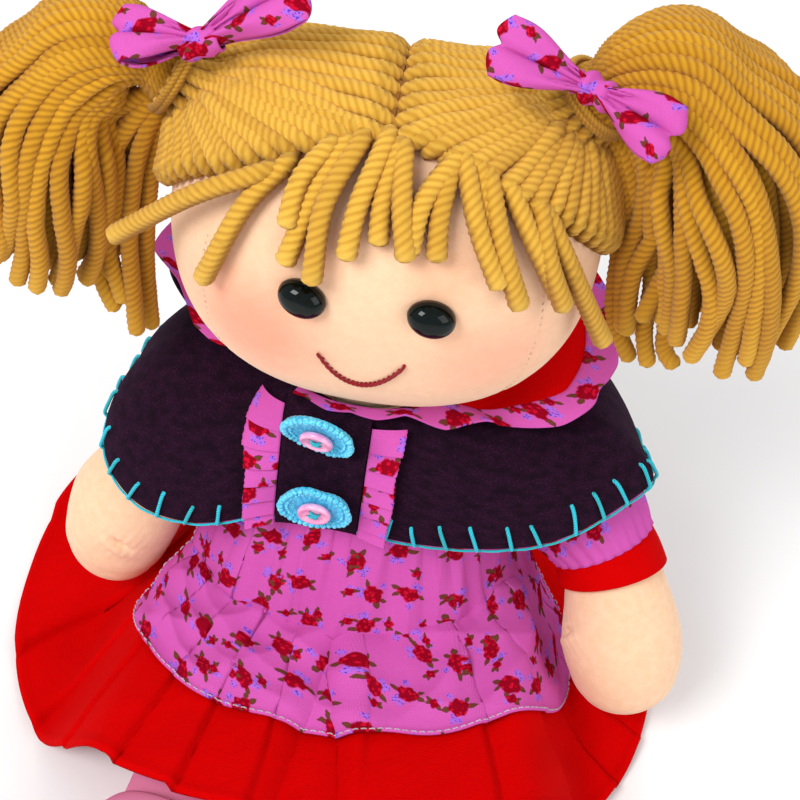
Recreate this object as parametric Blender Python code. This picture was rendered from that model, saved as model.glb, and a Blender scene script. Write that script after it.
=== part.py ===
"""A rag doll that sits on a table and faces -Y. Metres, +Z up, origin on the table below the middle of its seat.

Left and right are the doll's own: its left is +X. Cloth, felt and yarn pieces are closed solids that lie
a seam_gap apart, and each piece hangs from an empty on the axis that it turns about.
"""

import bpy
import bmesh
import numpy as np
from math import cos, pi, radians, sin, sqrt

MM = 0.001

# Clearances and cloth
seam_gap = 0.3 * MM
cotton = 1.2 * MM
felt = 2.0 * MM
flat_cut = 0.5 * MM

# Torso and neck
torso_width = 86 * MM
torso_depth = 70 * MM
torso_height = 118 * MM
belly_forward = 2 * MM
torso_shares = (
    (0.00, 0.80, 0.78), (0.05, 0.93, 0.90), (0.15, 1.00, 1.00), (0.35, 1.00, 1.02), (0.60, 0.93, 1.00),
    (0.78, 0.90, 0.95), (0.88, 0.86, 0.88), (0.95, 0.72, 0.74), (1.00, 0.575, 0.615),
)
torso_squareness = 2.3
neck_radius = 24.5 * MM
neck_overrun = 8 * MM

# Head
head_width = 120 * MM
head_front_depth = 50 * MM
head_back_depth = 28 * MM
head_height = 102 * MM
head_above_torso = 56 * MM
head_centre_height = torso_height + head_above_torso
head_squareness = 2.4
head_pitch = 7
head_turn = -1.5
eye_diameter = 13 * MM
eye_dome_height = 4.8 * MM
eye_post_diameter = 3 * MM
eye_post_length = 8 * MM
eye_turn = 19.5
eye_rise = 21
mouth_thread = 1.4 * MM
mouth_turn = 13
mouth_end_rise = -0.5
mouth_bottom_rise = -14

# Wig
hair_thickness = 8 * MM
hair_parting_gap = 0.4 * MM
hairline_turns = (0, 27, 43, 53, 63, 75, 86, 100, 120, 150, 180)
hairline_rises = (70, 64, 54, 42, 32, 16, 5, -8, -26, -38, -42)
hair_edge_share = 0.6
yarn_width = 5 * MM
yarn_depth = 4.4 * MM
yarn_lift = 1.2 * MM
fringe_band_rise = 6
fringe_width_share = 0.42
fringe_strands = (
    (-47, -63, 17, 2.2), (-39, -46, 12, 0.3), (-31, -26, 30, 0.3), (-22, -15, 29, 0.3), (-13, -8, 37, 0.3),
    (-3, 0, 36, 0.3), (8, 12, 38, 0.3), (18, 22, 42, 0.3), (28, 31, 36, 0.3), (38, 38, 28, 0.3),
    (47, 46, 21, 0.3), (55, 55, 16, 0.3), (62, 66, 6, 0.6),
)

# Pigtails: tie places are shares of half the head's width and height
pigtail_root_radius = 11.5 * MM
pigtail_reach = 50 * MM
pigtail_drop = 76 * MM
pigtail_width = 58 * MM
pigtail_depth = 46 * MM
pigtail_forward = 6 * MM
pigtail_flutes = 11
pigtail_flute_share = 0.05
left_tie_shares = (0.82, 0.0, 0.985)
right_tie_shares = (-1.0, 0.0, 0.78)
left_pigtail_shares = (
    (0.00, 0.0, 0.00), (0.15, 0.0, 0.12), (0.40, 0.0, 0.13), (0.70, 0.1, -0.04), (0.88, 0.5, -0.34),
    (0.94, 0.8, -0.62), (0.94, 1.0, -0.86),
)
right_pigtail_shares = (
    (0.00, 0.0, 0.00), (0.26, 0.0, 0.12), (0.48, 0.0, 0.06), (0.62, 0.2, -0.16), (0.66, 0.5, -0.42),
    (0.72, 0.8, -0.62), (0.80, 1.0, -0.80),
)
pigtail_neck_shares = ((0.0, 1.0), (0.6, 0.8), (0.83, 0.95), (1.25, 1.2), (1.9, 1.5))
pigtail_swell_shares = ((2.8, 0.72), (3.9, 0.96), (5.2, 1.08), (7.0, 1.05), (9.0, 0.98))
tie_band_width = 5 * MM
tie_band_thickness = 2.4 * MM
bow_width = 17 * MM
bow_thickness = 5 * MM
bow_waist = 4.2 * MM
bow_reach = 27 * MM
knot_radius = 6.4 * MM
knot_thickness = 3 * MM

# Arms, sleeves and cuffs
shoulder_forward = 4 * MM
shoulder_drop = 22 * MM
shoulder_height = torso_height - shoulder_drop
shoulder_inset = 10 * MM
arm_diameter = 40 * MM
arm_out = 46.5 * MM
arm_forward = 43 * MM
arm_drop = 81 * MM
left_arm_shares = ((0, 0, 0), (0.36, 0.22, 0.20), (0.70, 0.50, 0.42), (0.91, 0.89, 0.72), (1.0, 1.0, 1.0))
right_arm_shares = ((0, 0, 0), (0.14, 0.08, 0.14), (0.29, 0.22, 0.34), (0.50, 0.41, 0.61), (0.63, 0.56, 0.945))
arm_swell_shares = (
    (0.0, 0.74), (0.3, 0.72), (0.5, 0.76), (0.6, 0.88), (0.72, 1.0), (0.82, 0.96), (0.9, 0.84), (0.97, 0.5), (1.0, 0.2),
)
sleeve_thickness = 1.8 * MM
sleeve_gap = 0.8 * MM
sleeve_end_share = 0.44
cuff_length_share = 0.09
cuff_thickness = 1.7 * MM

# Legs and feet
hip_spacing = 48 * MM
hip_forward = 28 * MM
leg_splay = 12
leg_diameter = 36 * MM
ankle_diameter = 31 * MM
leg_length = 92 * MM
foot_width = 46 * MM
foot_height = 45 * MM
foot_length = 48 * MM

# Dress
bodice_top_drop = 10 * MM
bodice_top = torso_height - bodice_top_drop
bodice_bottom = 68 * MM
waist_side_height = 73 * MM
waist_front_height = 90 * MM
hem_width = 221 * MM
hem_depth = 190 * MM
hem_squareness = 2.4
hem_forward = 25 * MM
skirt_fall = 4.0
skirt_columns = 72
skirt_row_shares = (0, 0.09, 0.20, 0.33, 0.48, 0.64, 0.81, 1)
skirt_pleats = 18
skirt_pleat_height = 4 * MM
lap_slope_width = 34 * MM
lap_clearance = 1.2 * MM
apron_length_share = 0.65
apron_half_turn = 65
apron_corner_share = 0.44

# Cape, placket and trims
cape_neck_width = 54 * MM
cape_neck_depth = 50 * MM
cape_neck_front = 28 * MM
cape_neck_drop = 0.8 * MM
cape_neck_height = torso_height - cape_neck_drop
cape_front_rise = 3.8 * MM
cape_width = 184 * MM
cape_drop = 54 * MM
cape_hem_shares = (
    (-180, 0.98, 0.98), (-165, 0.96, 0.84), (-149, 0.85, 0.88), (-137, 0.74, 0.78), (-122, 0.59, 0.60),
    (-102, 0.53, 0.46), (-72, 0.55, 0.52), (-53, 0.67, 0.57), (-35, 0.84, 0.55), (-21, 0.98, 0.50),
    (-10, 1.04, 0.64), (0, 1.06, 0.90), (25, 0.98, 0.92), (60, 0.66, 0.84), (90, 0.60, 0.82), (120, 0.66, 0.86),
    (155, 0.96, 0.94), (180, 0.98, 0.98),
)
cape_side_fall_shares = ((0, 0), (0.25, -0.01), (0.45, 0.02), (0.66, 0.18), (0.84, 0.46), (0.94, 0.72), (1, 1))
cape_row_shares = (0, 0.12, 0.25, 0.36, 0.48, 0.60, 0.72, 0.86, 1)
cape_front_reach_shares = ((0, 0), (0.2, 0.30), (0.4, 0.58), (0.6, 0.78), (0.8, 0.92), (1, 1))
cape_front_fall_shares = ((0, 0), (0.2, 0.06), (0.4, 0.24), (0.6, 0.48), (0.8, 0.74), (1, 1))
cape_opening_place = -11 * MM
placket_width = 25 * MM
placket_first_share = 0.08
ruffle_first_share = 0.2
ruffle_width = 9.5 * MM
ruffle_wave = 1.6 * MM
ruffle_waves = 8
rosette_diameter = 21 * MM
rosette_thickness = 2 * MM
rosette_scallops = 12
rosette_scallop_share = 0.07
rosette_place_shares = (0.25, 0.72)
rosette_droop_share = 0.6
rosette_seat = 1.2 * MM
button_diameter = 10 * MM
button_thickness = 2.4 * MM
button_rim = 1.4 * MM
button_dish = 0.5 * MM
button_hole = 1.3 * MM
button_hole_spacing = 2.6 * MM

# Hood
hood_gap = 0.6 * MM
hood_width = 130 * MM
hood_depth = 102 * MM
hood_back = 4 * MM
hood_rim_rise = 8 * MM
hood_end_width_share = 0.25
hood_end_turn = 40
hood_first_turn = -50
hood_last_turn = 200
lining_thickness = 1.0 * MM
trim_width = 9 * MM
trim_wave = 1.6 * MM
trim_waves = 20

# Facets
around = 28
overrun = 5 * MM


def unit(vector):
    vector = np.asarray(vector, float)
    return vector / np.linalg.norm(vector)


def ease(value):
    """0 to 1 with a level start and end."""
    value = np.clip(value, 0, 1)
    return value * value * (3 - 2 * value)


def egg_radius(turn, half_x, half_y, squareness):
    """Distance from the middle to a superellipse, in the direction of turn."""
    return (np.abs(np.cos(turn) / half_x) ** squareness + np.abs(np.sin(turn) / half_y) ** squareness) ** (
        -1 / squareness
    )


def smooth_line(points, count):
    """count points along a Catmull-Rom curve through the given points, evenly spaced in its own steps."""
    points = np.array(points, float)
    padded = np.vstack([2 * points[0] - points[1], points, 2 * points[-1] - points[-2]])
    line = []
    for step in np.linspace(0, len(points) - 1, count):
        first = min(int(step), len(points) - 2)
        t = step - first
        a, b, c, d = padded[first:first + 4]
        line.append(0.5 * (2 * b + (c - a) * t + (2 * a - 5 * b + 4 * c - d) * t ** 2
                           + (3 * b - a - 3 * c + d) * t ** 3))
    return np.array(line)


def material(name, colour, roughness, metallic=0.0):
    made = bpy.data.materials.new(name)
    made.use_nodes = True
    shader = made.node_tree.nodes["Principled BSDF"]
    shader.inputs["Base Color"].default_value = (*colour, 1)
    shader.inputs["Roughness"].default_value = roughness
    shader.inputs["Metallic"].default_value = metallic
    made.diffuse_color = (*colour, 1)
    return made


def solid(name, points, faces, finish):
    """A named object from points and faces, welded, with its faces pointing out."""
    mesh = bpy.data.meshes.new(name)
    mesh.from_pydata([tuple(p) for p in points], [], faces)
    shape = bmesh.new()
    shape.from_mesh(mesh)
    bmesh.ops.remove_doubles(shape, verts=shape.verts, dist=seam_gap / 100)
    bmesh.ops.dissolve_degenerate(shape, edges=shape.edges, dist=seam_gap / 100)
    bmesh.ops.recalc_face_normals(shape, faces=shape.faces)
    shape.to_mesh(mesh)
    shape.free()
    mesh.shade_smooth()
    mesh.materials.append(material(name + "_finish", *finish))
    made = bpy.data.objects.new(name, mesh)
    bpy.context.scene.collection.objects.link(made)
    return made


def loft(name, rings, finish):
    """Closed rings joined in turn, with a fan of faces over each end."""
    count = len(rings[0])
    points = [p for ring in rings for p in ring]
    faces = []
    for row in range(len(rings) - 1):
        for k in range(count):
            after = (k + 1) % count
            faces.append((row * count + k, row * count + after, (row + 1) * count + after, (row + 1) * count + k))
    for row, order in ((0, -1), (len(rings) - 1, 1)):
        middle = len(points)
        points.append(np.mean(rings[row], axis=0))
        for k in range(count):
            faces.append((row * count + k, row * count + (k + 1) % count, middle)[::order])
    return solid(name, points, faces, finish)


def shell(name, inner, outer, wrap, finish):
    """A sheet between two grids of points of the same size, closed along its rims."""
    rows, columns = inner.shape[:2]
    points = list(inner.reshape(-1, 3)) + list(outer.reshape(-1, 3))
    size = rows * columns
    spans = columns if wrap else columns - 1

    def at(row, column, layer):
        return layer * size + row * columns + column % columns

    faces = []
    for row in range(rows - 1):
        for k in range(spans):
            faces.append((at(row, k, 1), at(row, k + 1, 1), at(row + 1, k + 1, 1), at(row + 1, k, 1)))
            faces.append((at(row, k, 0), at(row + 1, k, 0), at(row + 1, k + 1, 0), at(row, k + 1, 0)))
    for k in range(spans):
        for row in (0, rows - 1):
            faces.append((at(row, k, 0), at(row, k + 1, 0), at(row, k + 1, 1), at(row, k, 1)))
    if not wrap:
        for row in range(rows - 1):
            for column in (0, columns - 1):
                faces.append((at(row, column, 0), at(row + 1, column, 0), at(row + 1, column, 1), at(row, column, 1)))
    return solid(name, points, faces, finish)


def normals_of(grid, wrap, outward):
    """Unit normals of a grid of points, turned to the side that outward gives."""
    along = np.gradient(grid, axis=0)
    if wrap:
        across = (np.roll(grid, -1, axis=1) - np.roll(grid, 1, axis=1)) / 2
    else:
        across = np.gradient(grid, axis=1)
    normal = np.cross(along, across)
    normal /= np.linalg.norm(normal, axis=2, keepdims=True)
    turned = np.sign(np.sum(normal * outward, axis=2, keepdims=True))
    return normal * np.where(turned == 0, 1, turned)


def ring_frame(tangent, up):
    side = unit(np.cross(tangent, up))
    return side, unit(np.cross(side, tangent))


def tube_rings(centres, tangents, half_widths, half_depths, up, count, flutes=0, flute_share=0.0):
    """Rings across a line: each has its own half width, sideways of up, and half depth."""
    turns = np.arange(count) * 2 * pi / count
    swell = 1 + flute_share * np.cos(flutes * turns)
    rings = []
    for centre, tangent, half_width, half_depth in zip(centres, tangents, half_widths, half_depths):
        side, top = ring_frame(tangent, up)
        rings.append([centre + side * half_width * s * cos(a) + top * half_depth * s * sin(a)
                      for a, s in zip(turns, swell)])
    return rings


def tangents_of(line):
    steps = np.gradient(line, axis=0)
    return steps / np.linalg.norm(steps, axis=1, keepdims=True)


def cutter(name, points, faces):
    tool = solid(name, points, faces, ((0.5, 0.5, 0.5), 0.5))
    tool.hide_render = True
    tool.display_type = "WIRE"
    return tool


def cylinder_between(name, start, end, radius, count):
    """A cutter: a plain cylinder from start to end."""
    side, top = ring_frame(unit(end - start), (0.31, 0.17, 0.94))
    turns = np.arange(count) * 2 * pi / count
    points = [place + side * radius * cos(a) + top * radius * sin(a) for place in (start, end) for a in turns]
    faces = [(k, (k + 1) % count, count + (k + 1) % count, count + k) for k in range(count)]
    faces += [tuple(range(count)), tuple(range(count, 2 * count))]
    return cutter(name, points, faces)


def ball_cutter(name, centre, radius):
    turns = np.arange(24) * 2 * pi / 24
    rings = [[centre + radius * np.array([cos(tilt) * cos(a), cos(tilt) * sin(a), sin(tilt)]) for a in turns]
             for tilt in np.linspace(-0.45 * pi, 0.45 * pi, 11)]
    return hidden(loft(name, rings, ((0.5, 0.5, 0.5), 0.5)))


def cut_away(target, tool):
    step = target.modifiers.new("cut_by_" + tool.name, "BOOLEAN")
    step.operation = "DIFFERENCE"
    step.object = tool
    return target


def hidden(tool):
    tool.hide_render = True
    tool.display_type = "WIRE"
    return tool


# Finishes: colour and roughness
skin_finish = ((0.90, 0.66, 0.52), 0.85)
yarn_finish = ((0.68, 0.45, 0.12), 0.9)
floral_finish = ((0.74, 0.22, 0.52), 0.8)
felt_finish = ((0.045, 0.014, 0.05), 0.95)
red_finish = ((0.60, 0.006, 0.008), 0.8)
pink_finish = ((0.83, 0.36, 0.52), 0.85)
satin_finish = ((0.04, 0.42, 0.62), 0.35)
button_finish = ((0.85, 0.42, 0.58), 0.3)
eye_finish = ((0.004, 0.012, 0.010), 0.08)
thread_finish = ((0.30, 0.01, 0.02), 0.7)


# Body surfaces

def torso_section(height, spread):
    """Points around the torso at one height, spread outwards."""
    shares = np.array(torso_shares)
    share = height / torso_height
    half_x = torso_width / 2 * np.interp(share, shares[:, 0], shares[:, 1]) + spread
    half_y = torso_depth / 2 * np.interp(share, shares[:, 0], shares[:, 2]) + spread
    turns = np.arange(around) * 2 * pi / around
    reach = egg_radius(turns, half_x, half_y, torso_squareness)
    return np.stack([reach * np.cos(turns), reach * np.sin(turns) - belly_forward, np.full(around, height)], axis=1)


def torso_solid(name, spread):
    rings = [torso_section(share * torso_height, spread) for share, _, _ in torso_shares]
    rings[0][:, 2] -= spread
    rings[-1][:, 2] += spread
    return loft(name, rings, skin_finish)


head_centre = np.array([0, 0, head_centre_height])


def head_halves(ray):
    """Half sizes of the head along a ray: it is flatter behind than in front."""
    deep = np.where(ray[..., 1] > 0, head_back_depth, head_front_depth)
    return np.stack([np.full(deep.shape, head_width / 2), deep, np.full(deep.shape, head_height / 2)], axis=-1)


def head_to_world(local):
    """Pitches the head forward, turns it and lifts it to its place."""
    a, b = radians(head_pitch), radians(head_turn)
    pitch = np.array([[1, 0, 0], [0, cos(a), -sin(a)], [0, sin(a), cos(a)]])
    turn = np.array([[cos(b), -sin(b), 0], [sin(b), cos(b), 0], [0, 0, 1]])
    return local @ (turn @ pitch).T


def head_surface(turn, rise, lift):
    """A point of the head: turn in degrees from the face's middle to its left, rise in degrees, lift off the skin."""
    turn, rise, lift = np.broadcast_arrays(np.radians(turn), np.radians(rise), lift)
    ray = np.stack([np.cos(rise) * np.sin(turn), -np.cos(rise) * np.cos(turn), np.sin(rise)], axis=-1)
    halves = head_halves(ray)
    reach = (np.abs(ray / halves) ** head_squareness).sum(-1) ** (-1 / head_squareness)
    skin = ray * reach[..., None]
    normal = np.sign(ray) * np.abs(skin / halves) ** (head_squareness - 1) / halves
    normal /= np.linalg.norm(normal, axis=-1, keepdims=True)
    return head_to_world(skin + normal * lift[..., None]) + head_centre


def head_normal(turn, rise):
    return unit(head_surface(turn, rise, seam_gap) - head_surface(turn, rise, 0.0))


def head_solid(name, lift):
    rises = np.linspace(-84, 84, 13)
    turns = np.arange(around) * 360 / around
    rings = [head_surface(turns, rise, lift) for rise in rises]
    return loft(name, rings, skin_finish)


# Body

def leg_way(side, word):
    """A cutter: all that a leg passes through on its way from sitting to standing."""
    root, ahead = hip(side), leg_ahead(side)
    aside = np.array([-ahead[1], ahead[0], 0])
    up = np.array([0.0, 0.0, 1.0])
    far = torso_depth
    rings = []
    for tilt in np.radians(np.linspace(-84, 84, 11)):
        half = (leg_diameter / 2 + 2 * seam_gap) * cos(tilt)
        middle = root + aside * (leg_diameter / 2 + 2 * seam_gap) * sin(tilt)
        ring = [middle + ahead * -half * cos(a) + up * half * sin(a) for a in np.linspace(0, pi / 2, 6)]
        ring += [middle + ahead * far + up * half, middle + ahead * far - up * far, middle - ahead * half - up * far]
        rings.append(ring)
    return hidden(loft("leg_way_" + word, rings, pink_finish))


def make_torso():
    """The stuffed body, hollowed for both legs' roots."""
    torso = torso_solid("torso", 0.0)
    for side, word in ((1, "left"), (-1, "right")):
        cut_away(torso, leg_way(side, word))
    return torso


def make_neck():
    """The stuffed neck: a stub held between the shoulders and the head."""
    bottom = torso_height - neck_overrun
    top = head_centre_height - head_height / 2 + neck_overrun
    turns = np.arange(around) * 2 * pi / around
    circle = np.stack([np.cos(turns), np.sin(turns), np.zeros(around)], axis=1) * neck_radius
    heights = np.linspace(bottom, top, 3)
    neck = loft("neck", [circle + (0, 0, height) for height in heights], skin_finish)
    cut_away(neck, hidden(torso_solid("neck_base_cutter", seam_gap)))
    cut_away(neck, hidden(head_solid("neck_top_cutter", seam_gap)))
    return neck


def make_head():
    """The stuffed head, with a hole through the face for each eye's post."""
    head = head_solid("head", 0.0)
    for side, word in ((1, "left"), (-1, "right")):
        face = head_surface(side * eye_turn, eye_rise, 0.0)
        out = head_normal(side * eye_turn, eye_rise)
        hole = cylinder_between("eye_hole_" + word, face + out * overrun,
                                face - out * (eye_post_length + seam_gap), eye_post_diameter / 2 + seam_gap, 12)
        cut_away(head, hole)
    return head


def turned(name, profile, origin, axis, count, finish):
    """A solid turned about an axis: profile pairs are radius and height along the axis."""
    side, top = ring_frame(axis, (0.31, 0.17, 0.94))
    turns = np.arange(count) * 2 * pi / count
    rings = [[origin + axis * height + (side * cos(a) + top * sin(a)) * radius for a in turns]
             for radius, height in profile]
    return loft(name, rings, finish)


def make_eye(side, word):
    """A glossy dome with a post behind it."""
    face = head_surface(side * eye_turn, eye_rise, 0.0)
    out = head_normal(side * eye_turn, eye_rise)
    half, post, tall = eye_diameter / 2, eye_post_diameter / 2, eye_dome_height
    dome_shares = ((1.0, 0.25), (0.95, 0.5), (0.80, 0.75), (0.5, 0.93), (0.2, 1.0))
    profile = [(post, -eye_post_length), (post, seam_gap), (half * 0.96, seam_gap)]
    profile += [(half * wide, seam_gap + tall * high) for wide, high in dome_shares]
    return turned("eye_" + word, profile, face, out, 20, eye_finish)


def make_mouth():
    """One line of thick thread laid on the face as a smile."""
    shares = np.linspace(-1, 1, 13)
    rises = mouth_bottom_rise + (mouth_end_rise - mouth_bottom_rise) * shares ** 2
    line = head_surface(shares * mouth_turn, rises, seam_gap + mouth_thread / 2)
    out = head_normal(0, mouth_bottom_rise)
    halves = np.full(len(line), mouth_thread / 2)
    return loft("mouth_stitch", tube_rings(line, tangents_of(line), halves, halves, out, 6), thread_finish)


# Wig

def hairline(turn):
    return np.interp(np.abs(turn), hairline_turns, hairline_rises)


def make_hair(side, word, root):
    """Half of the wig, from the parting round to the nape: thick at the crown, thinner at the hairline."""
    turns = np.linspace(0, 180, 17)
    climbs = np.linspace(0, 1, 8)
    rises = hairline(turns)[None] + (90 - hairline(turns)[None]) * climbs[:, None]
    turn_grid = np.broadcast_to(side * turns, rises.shape)
    depth = hair_thickness * (hair_edge_share + (1 - hair_edge_share) * np.sqrt(climbs))[:, None]
    inner = head_surface(turn_grid, rises, -hair_thickness / 4)
    outer = head_surface(turn_grid, rises, np.broadcast_to(depth, rises.shape))
    apart = head_to_world(np.array([side * hair_parting_gap / 2, 0, 0]))
    hair = shell("hair_" + word, inner + apart, outer + apart, False, yarn_finish)
    cut_away(hair, hidden(head_solid("hair_inside_" + word, 3 * seam_gap)))
    return cut_away(hair, ball_cutter("hair_hollow_" + word, root, pigtail_root_radius + seam_gap))


def strand_line(root_turn, tip_turn, tip_rise, lift):
    """The inner and outer middle lines of one fringe strand, from above its band to its tip."""
    start_rise = float(hairline(root_turn)) - fringe_band_rise
    shares = np.linspace(0, 1, 6)
    turns = np.append(root_turn, root_turn + (tip_turn - root_turn) * ease(shares))
    rises = np.append(start_rise + fringe_band_rise * 0.4, start_rise + (tip_rise - start_rise) * shares)
    low = np.append(yarn_lift, yarn_lift + (lift - 0.3) * yarn_depth * shares)
    return head_surface(turns, rises, low), head_surface(turns, rises, low + yarn_depth)


def make_fringe():
    """A band along the front hairline with one finger for each loose strand, kept clear of its neighbours."""
    lines = [strand_line(*strand) for strand in fringe_strands]
    points, faces, columns = [], [], []
    for k, (middle, outer) in enumerate(lines):
        near = [lines[j][0] for j in (k - 1, k + 1) if 0 <= j < len(lines)]
        room = np.min([np.linalg.norm(middle[:, None] - other[None], axis=2).min(axis=1) for other in near], axis=0)
        half = np.minimum(yarn_width / 2, room * fringe_width_share)
        aside = np.cross(tangents_of(middle), outer - middle)
        aside *= (half / np.linalg.norm(aside, axis=1))[:, None]
        rows = []
        for m, o, s in zip(middle, outer, aside):
            rows.append(len(points))
            points.extend([o + s, o - s, m - s, m + s])
        columns.append(rows)
        for here, after in zip(rows[1:-1], rows[2:]):
            for c in range(4):
                faces.append((here + c, here + (c + 1) % 4, after + (c + 1) % 4, after + c))
        faces.append(tuple(rows[-1] + c for c in range(4)))
        top, root = rows[0], rows[1]
        faces.append((top, top + 1, root + 1, root))
        faces.append((top + 2, top + 3, root + 3, root + 2))
        faces.append((top, top + 1, top + 2, top + 3))
    first, last = columns[0], columns[-1]
    if aside_is_left(points, columns):
        first, last = last, first
        columns = columns[::-1]
    faces.append((first[0] + 1, first[0] + 2, first[1] + 2, first[1] + 1))
    faces.append((last[0], last[0] + 3, last[1] + 3, last[1]))
    for here, after in zip(columns[:-1], columns[1:]):
        top, root, next_top, next_root = here[0], here[1], after[0], after[1]
        faces.append((top, next_top + 1, next_root + 1, root))
        faces.append((top + 3, next_top + 2, next_root + 2, root + 3))
        faces.append((top, next_top + 1, next_top + 2, top + 3))
        faces.append((root, next_root + 1, next_root + 2, root + 3))
    return solid("fringe", points, faces, yarn_finish)


def aside_is_left(points, columns):
    """Whether the first corner of each strand is on the side of the strand before it."""
    corner = points[columns[1][0]] - points[columns[1][0] + 1]
    return np.dot(corner, points[columns[2][0]] - points[columns[0][0]]) < 0


def tie_place(shares):
    return head_centre + np.array(shares) * np.array([head_width, 2 * head_front_depth, head_height]) / 2


def pigtail_line(side, tie_shares, path_shares):
    size = np.array([side * pigtail_reach, -pigtail_forward, pigtail_drop])
    return smooth_line(tie_place(tie_shares) + np.array(path_shares) * size, 25)


def make_pigtail(side, word, tie_shares, path_shares):
    """A bundle with a ball of a root inside its tie, a drawn-in neck, and a swell that ends blunt."""
    fine = pigtail_line(side, tie_shares, path_shares)
    gone = np.concatenate([[0], np.cumsum(np.linalg.norm(np.diff(fine, axis=0), axis=1))])
    root = pigtail_root_radius
    neck = np.array(pigtail_neck_shares) * root
    swell = np.array(pigtail_swell_shares)
    stations = np.concatenate([neck[:, 0], swell[:, 0] * root])
    stations = stations[stations < gone[-1] - yarn_width]
    stations = np.append(stations, gone[-1])
    at = np.concatenate([neck[:, 0], swell[:, 0] * root])
    line = np.stack([np.interp(stations, gone, fine[:, k]) for k in range(3)], axis=1)
    ahead = np.stack([np.interp(stations, gone, tangents_of(fine)[:, k]) for k in range(3)], axis=1)
    aheads = ahead / np.linalg.norm(ahead, axis=1, keepdims=True)
    widths = np.interp(stations, at, np.concatenate([neck[:, 1], swell[:, 1] * pigtail_width / 2]))
    depths = np.interp(stations, at, np.concatenate([neck[:, 1], swell[:, 1] * pigtail_depth / 2]))
    back = [(-0.97, 0.25), (-0.7, 0.71), (-0.35, 0.94)]
    centres = np.vstack([[line[0] + aheads[0] * root * step for step, _ in back], line,
                         line[-1:] + aheads[-1] * yarn_width / 2])
    aheads = np.vstack([np.repeat(aheads[:1], len(back), axis=0), aheads, aheads[-1:]])
    widths = np.concatenate([[root * r for _, r in back], widths, widths[-1:] * 0.8])
    depths = np.concatenate([[root * r for _, r in back], depths, depths[-1:] * 0.8])
    count = 2 * pigtail_flutes
    rings = tube_rings(centres, aheads, depths, widths, (0, -1, 0), count)
    flutes = 1 + pigtail_flute_share * np.cos(pigtail_flutes * np.arange(count) * 2 * pi / count)
    for k in range(len(back) + len(neck), len(rings)):
        rings[k] = [centres[k] + (p - centres[k]) * f for p, f in zip(rings[k], flutes)]
    tail = loft("pigtail_" + word, rings, yarn_finish)
    return cut_away(tail, hidden(head_solid("pigtail_side_" + word, hair_thickness + 2 * seam_gap)))


def make_tie(side, word, tie_shares, path_shares):
    """The band round the root of a pigtail."""
    line = pigtail_line(side, tie_shares, path_shares)
    axis = tangents_of(line)[0]
    across, top = ring_frame(axis, (0, 1, 0))
    inside = pigtail_root_radius + seam_gap
    outside = inside + tie_band_thickness
    turns = np.arange(24) * 2 * pi / 24
    circle = np.cos(turns)[:, None] * across + np.sin(turns)[:, None] * top
    ends = (-tie_band_width / 2, tie_band_width / 2)
    inner = np.array([line[0] + axis * place + circle * inside for place in ends])
    outer = np.array([line[0] + axis * place + circle * outside for place in ends])
    return shell("hair_tie_" + word, inner, outer, True, yarn_finish)


bow_faces = {"left": (-0.05, -0.72, 0.69), "right": (0.25, -0.36, 0.90)}
bow_wing_shares = {
    "left": ((-0.96, 0.0, 0.38), (0.74, -0.52, 0.0)),
    "right": ((-0.62, -0.10, 0.12), (0.98, 0.10, 0.58)),
}


def bow_centre(word, tie_shares):
    ring = pigtail_root_radius + seam_gap + tie_band_thickness
    return tie_place(tie_shares) + unit(bow_faces[word]) * (ring + 2 * seam_gap + knot_radius)


def make_bow(word, tie_shares):
    """A strip of cotton, wide at both ends and drawn in where the knot holds it."""
    knot = bow_centre(word, tie_shares)
    face = unit(bow_faces[word])
    first, last = (np.array(wing) * bow_reach for wing in bow_wing_shares[word])
    places = [knot + first, knot + first * 0.6 + face * knot_thickness / 2, knot, knot + last * 0.6, knot + last]
    line = smooth_line(places, 13)
    along = np.abs(np.linspace(-1, 1, len(line)))
    half_widths = bow_waist / 2 + (bow_width - bow_waist) / 2 * ease(along * 1.15 - 0.12)
    half_depths = bow_waist / 2 + (bow_thickness - bow_waist) / 2 * along
    rings = tube_rings(line, tangents_of(line), half_widths, half_depths, face, 14, 5, 0.10)
    return loft("bow_" + word, rings, floral_finish)


def make_knot(word, tie_shares):
    """The wrap of cotton round a bow's middle."""
    knot = bow_centre(word, tie_shares)
    first, last = (np.array(wing) for wing in bow_wing_shares[word])
    axis = unit(last - first)
    across, top = ring_frame(axis, bow_faces[word])
    turns = np.arange(16) * 2 * pi / 16
    circle = np.cos(turns)[:, None] * across + np.sin(turns)[:, None] * top
    inside = bow_waist / 2 + 6 * seam_gap
    steps = np.array([-1, -0.5, 0.5, 1]) * knot_thickness
    bulge = np.array([0.80, 1.0, 1.0, 0.80]) * knot_radius
    inner = np.array([knot + axis * s + circle * inside for s in steps])
    outer = np.array([knot + axis * s + circle * r for s, r in zip(steps, bulge)])
    return shell("bow_knot_" + word, inner, outer, True, floral_finish)


# Arms and legs

def bodice_reach():
    """How far the bodice reaches sideways at the shoulders."""
    section = torso_section(shoulder_height - arm_diameter / 2, 2 * seam_gap + cotton)
    return section[:, 0].max()


def shoulder(side):
    return np.array([side * (bodice_reach() + shoulder_inset), -shoulder_forward, shoulder_height])


def arm_line(side, path_shares):
    size = np.array([side * arm_out, -arm_forward, -arm_drop])
    return smooth_line(shoulder(side) + np.array(path_shares) * size, 15)


def arm_halves(count):
    table = np.array(arm_swell_shares)
    return arm_diameter / 2 * np.interp(np.linspace(0, 1, count), table[:, 0], table[:, 1])


def root_ball(centre, ahead, radius):
    """Rings of the back half of a ball, for the root of a limb."""
    angles = np.radians([-78, -55, -30])
    centres = [centre + ahead * radius * sin(a) for a in angles]
    return centres, [radius * cos(a) for a in angles]


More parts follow.
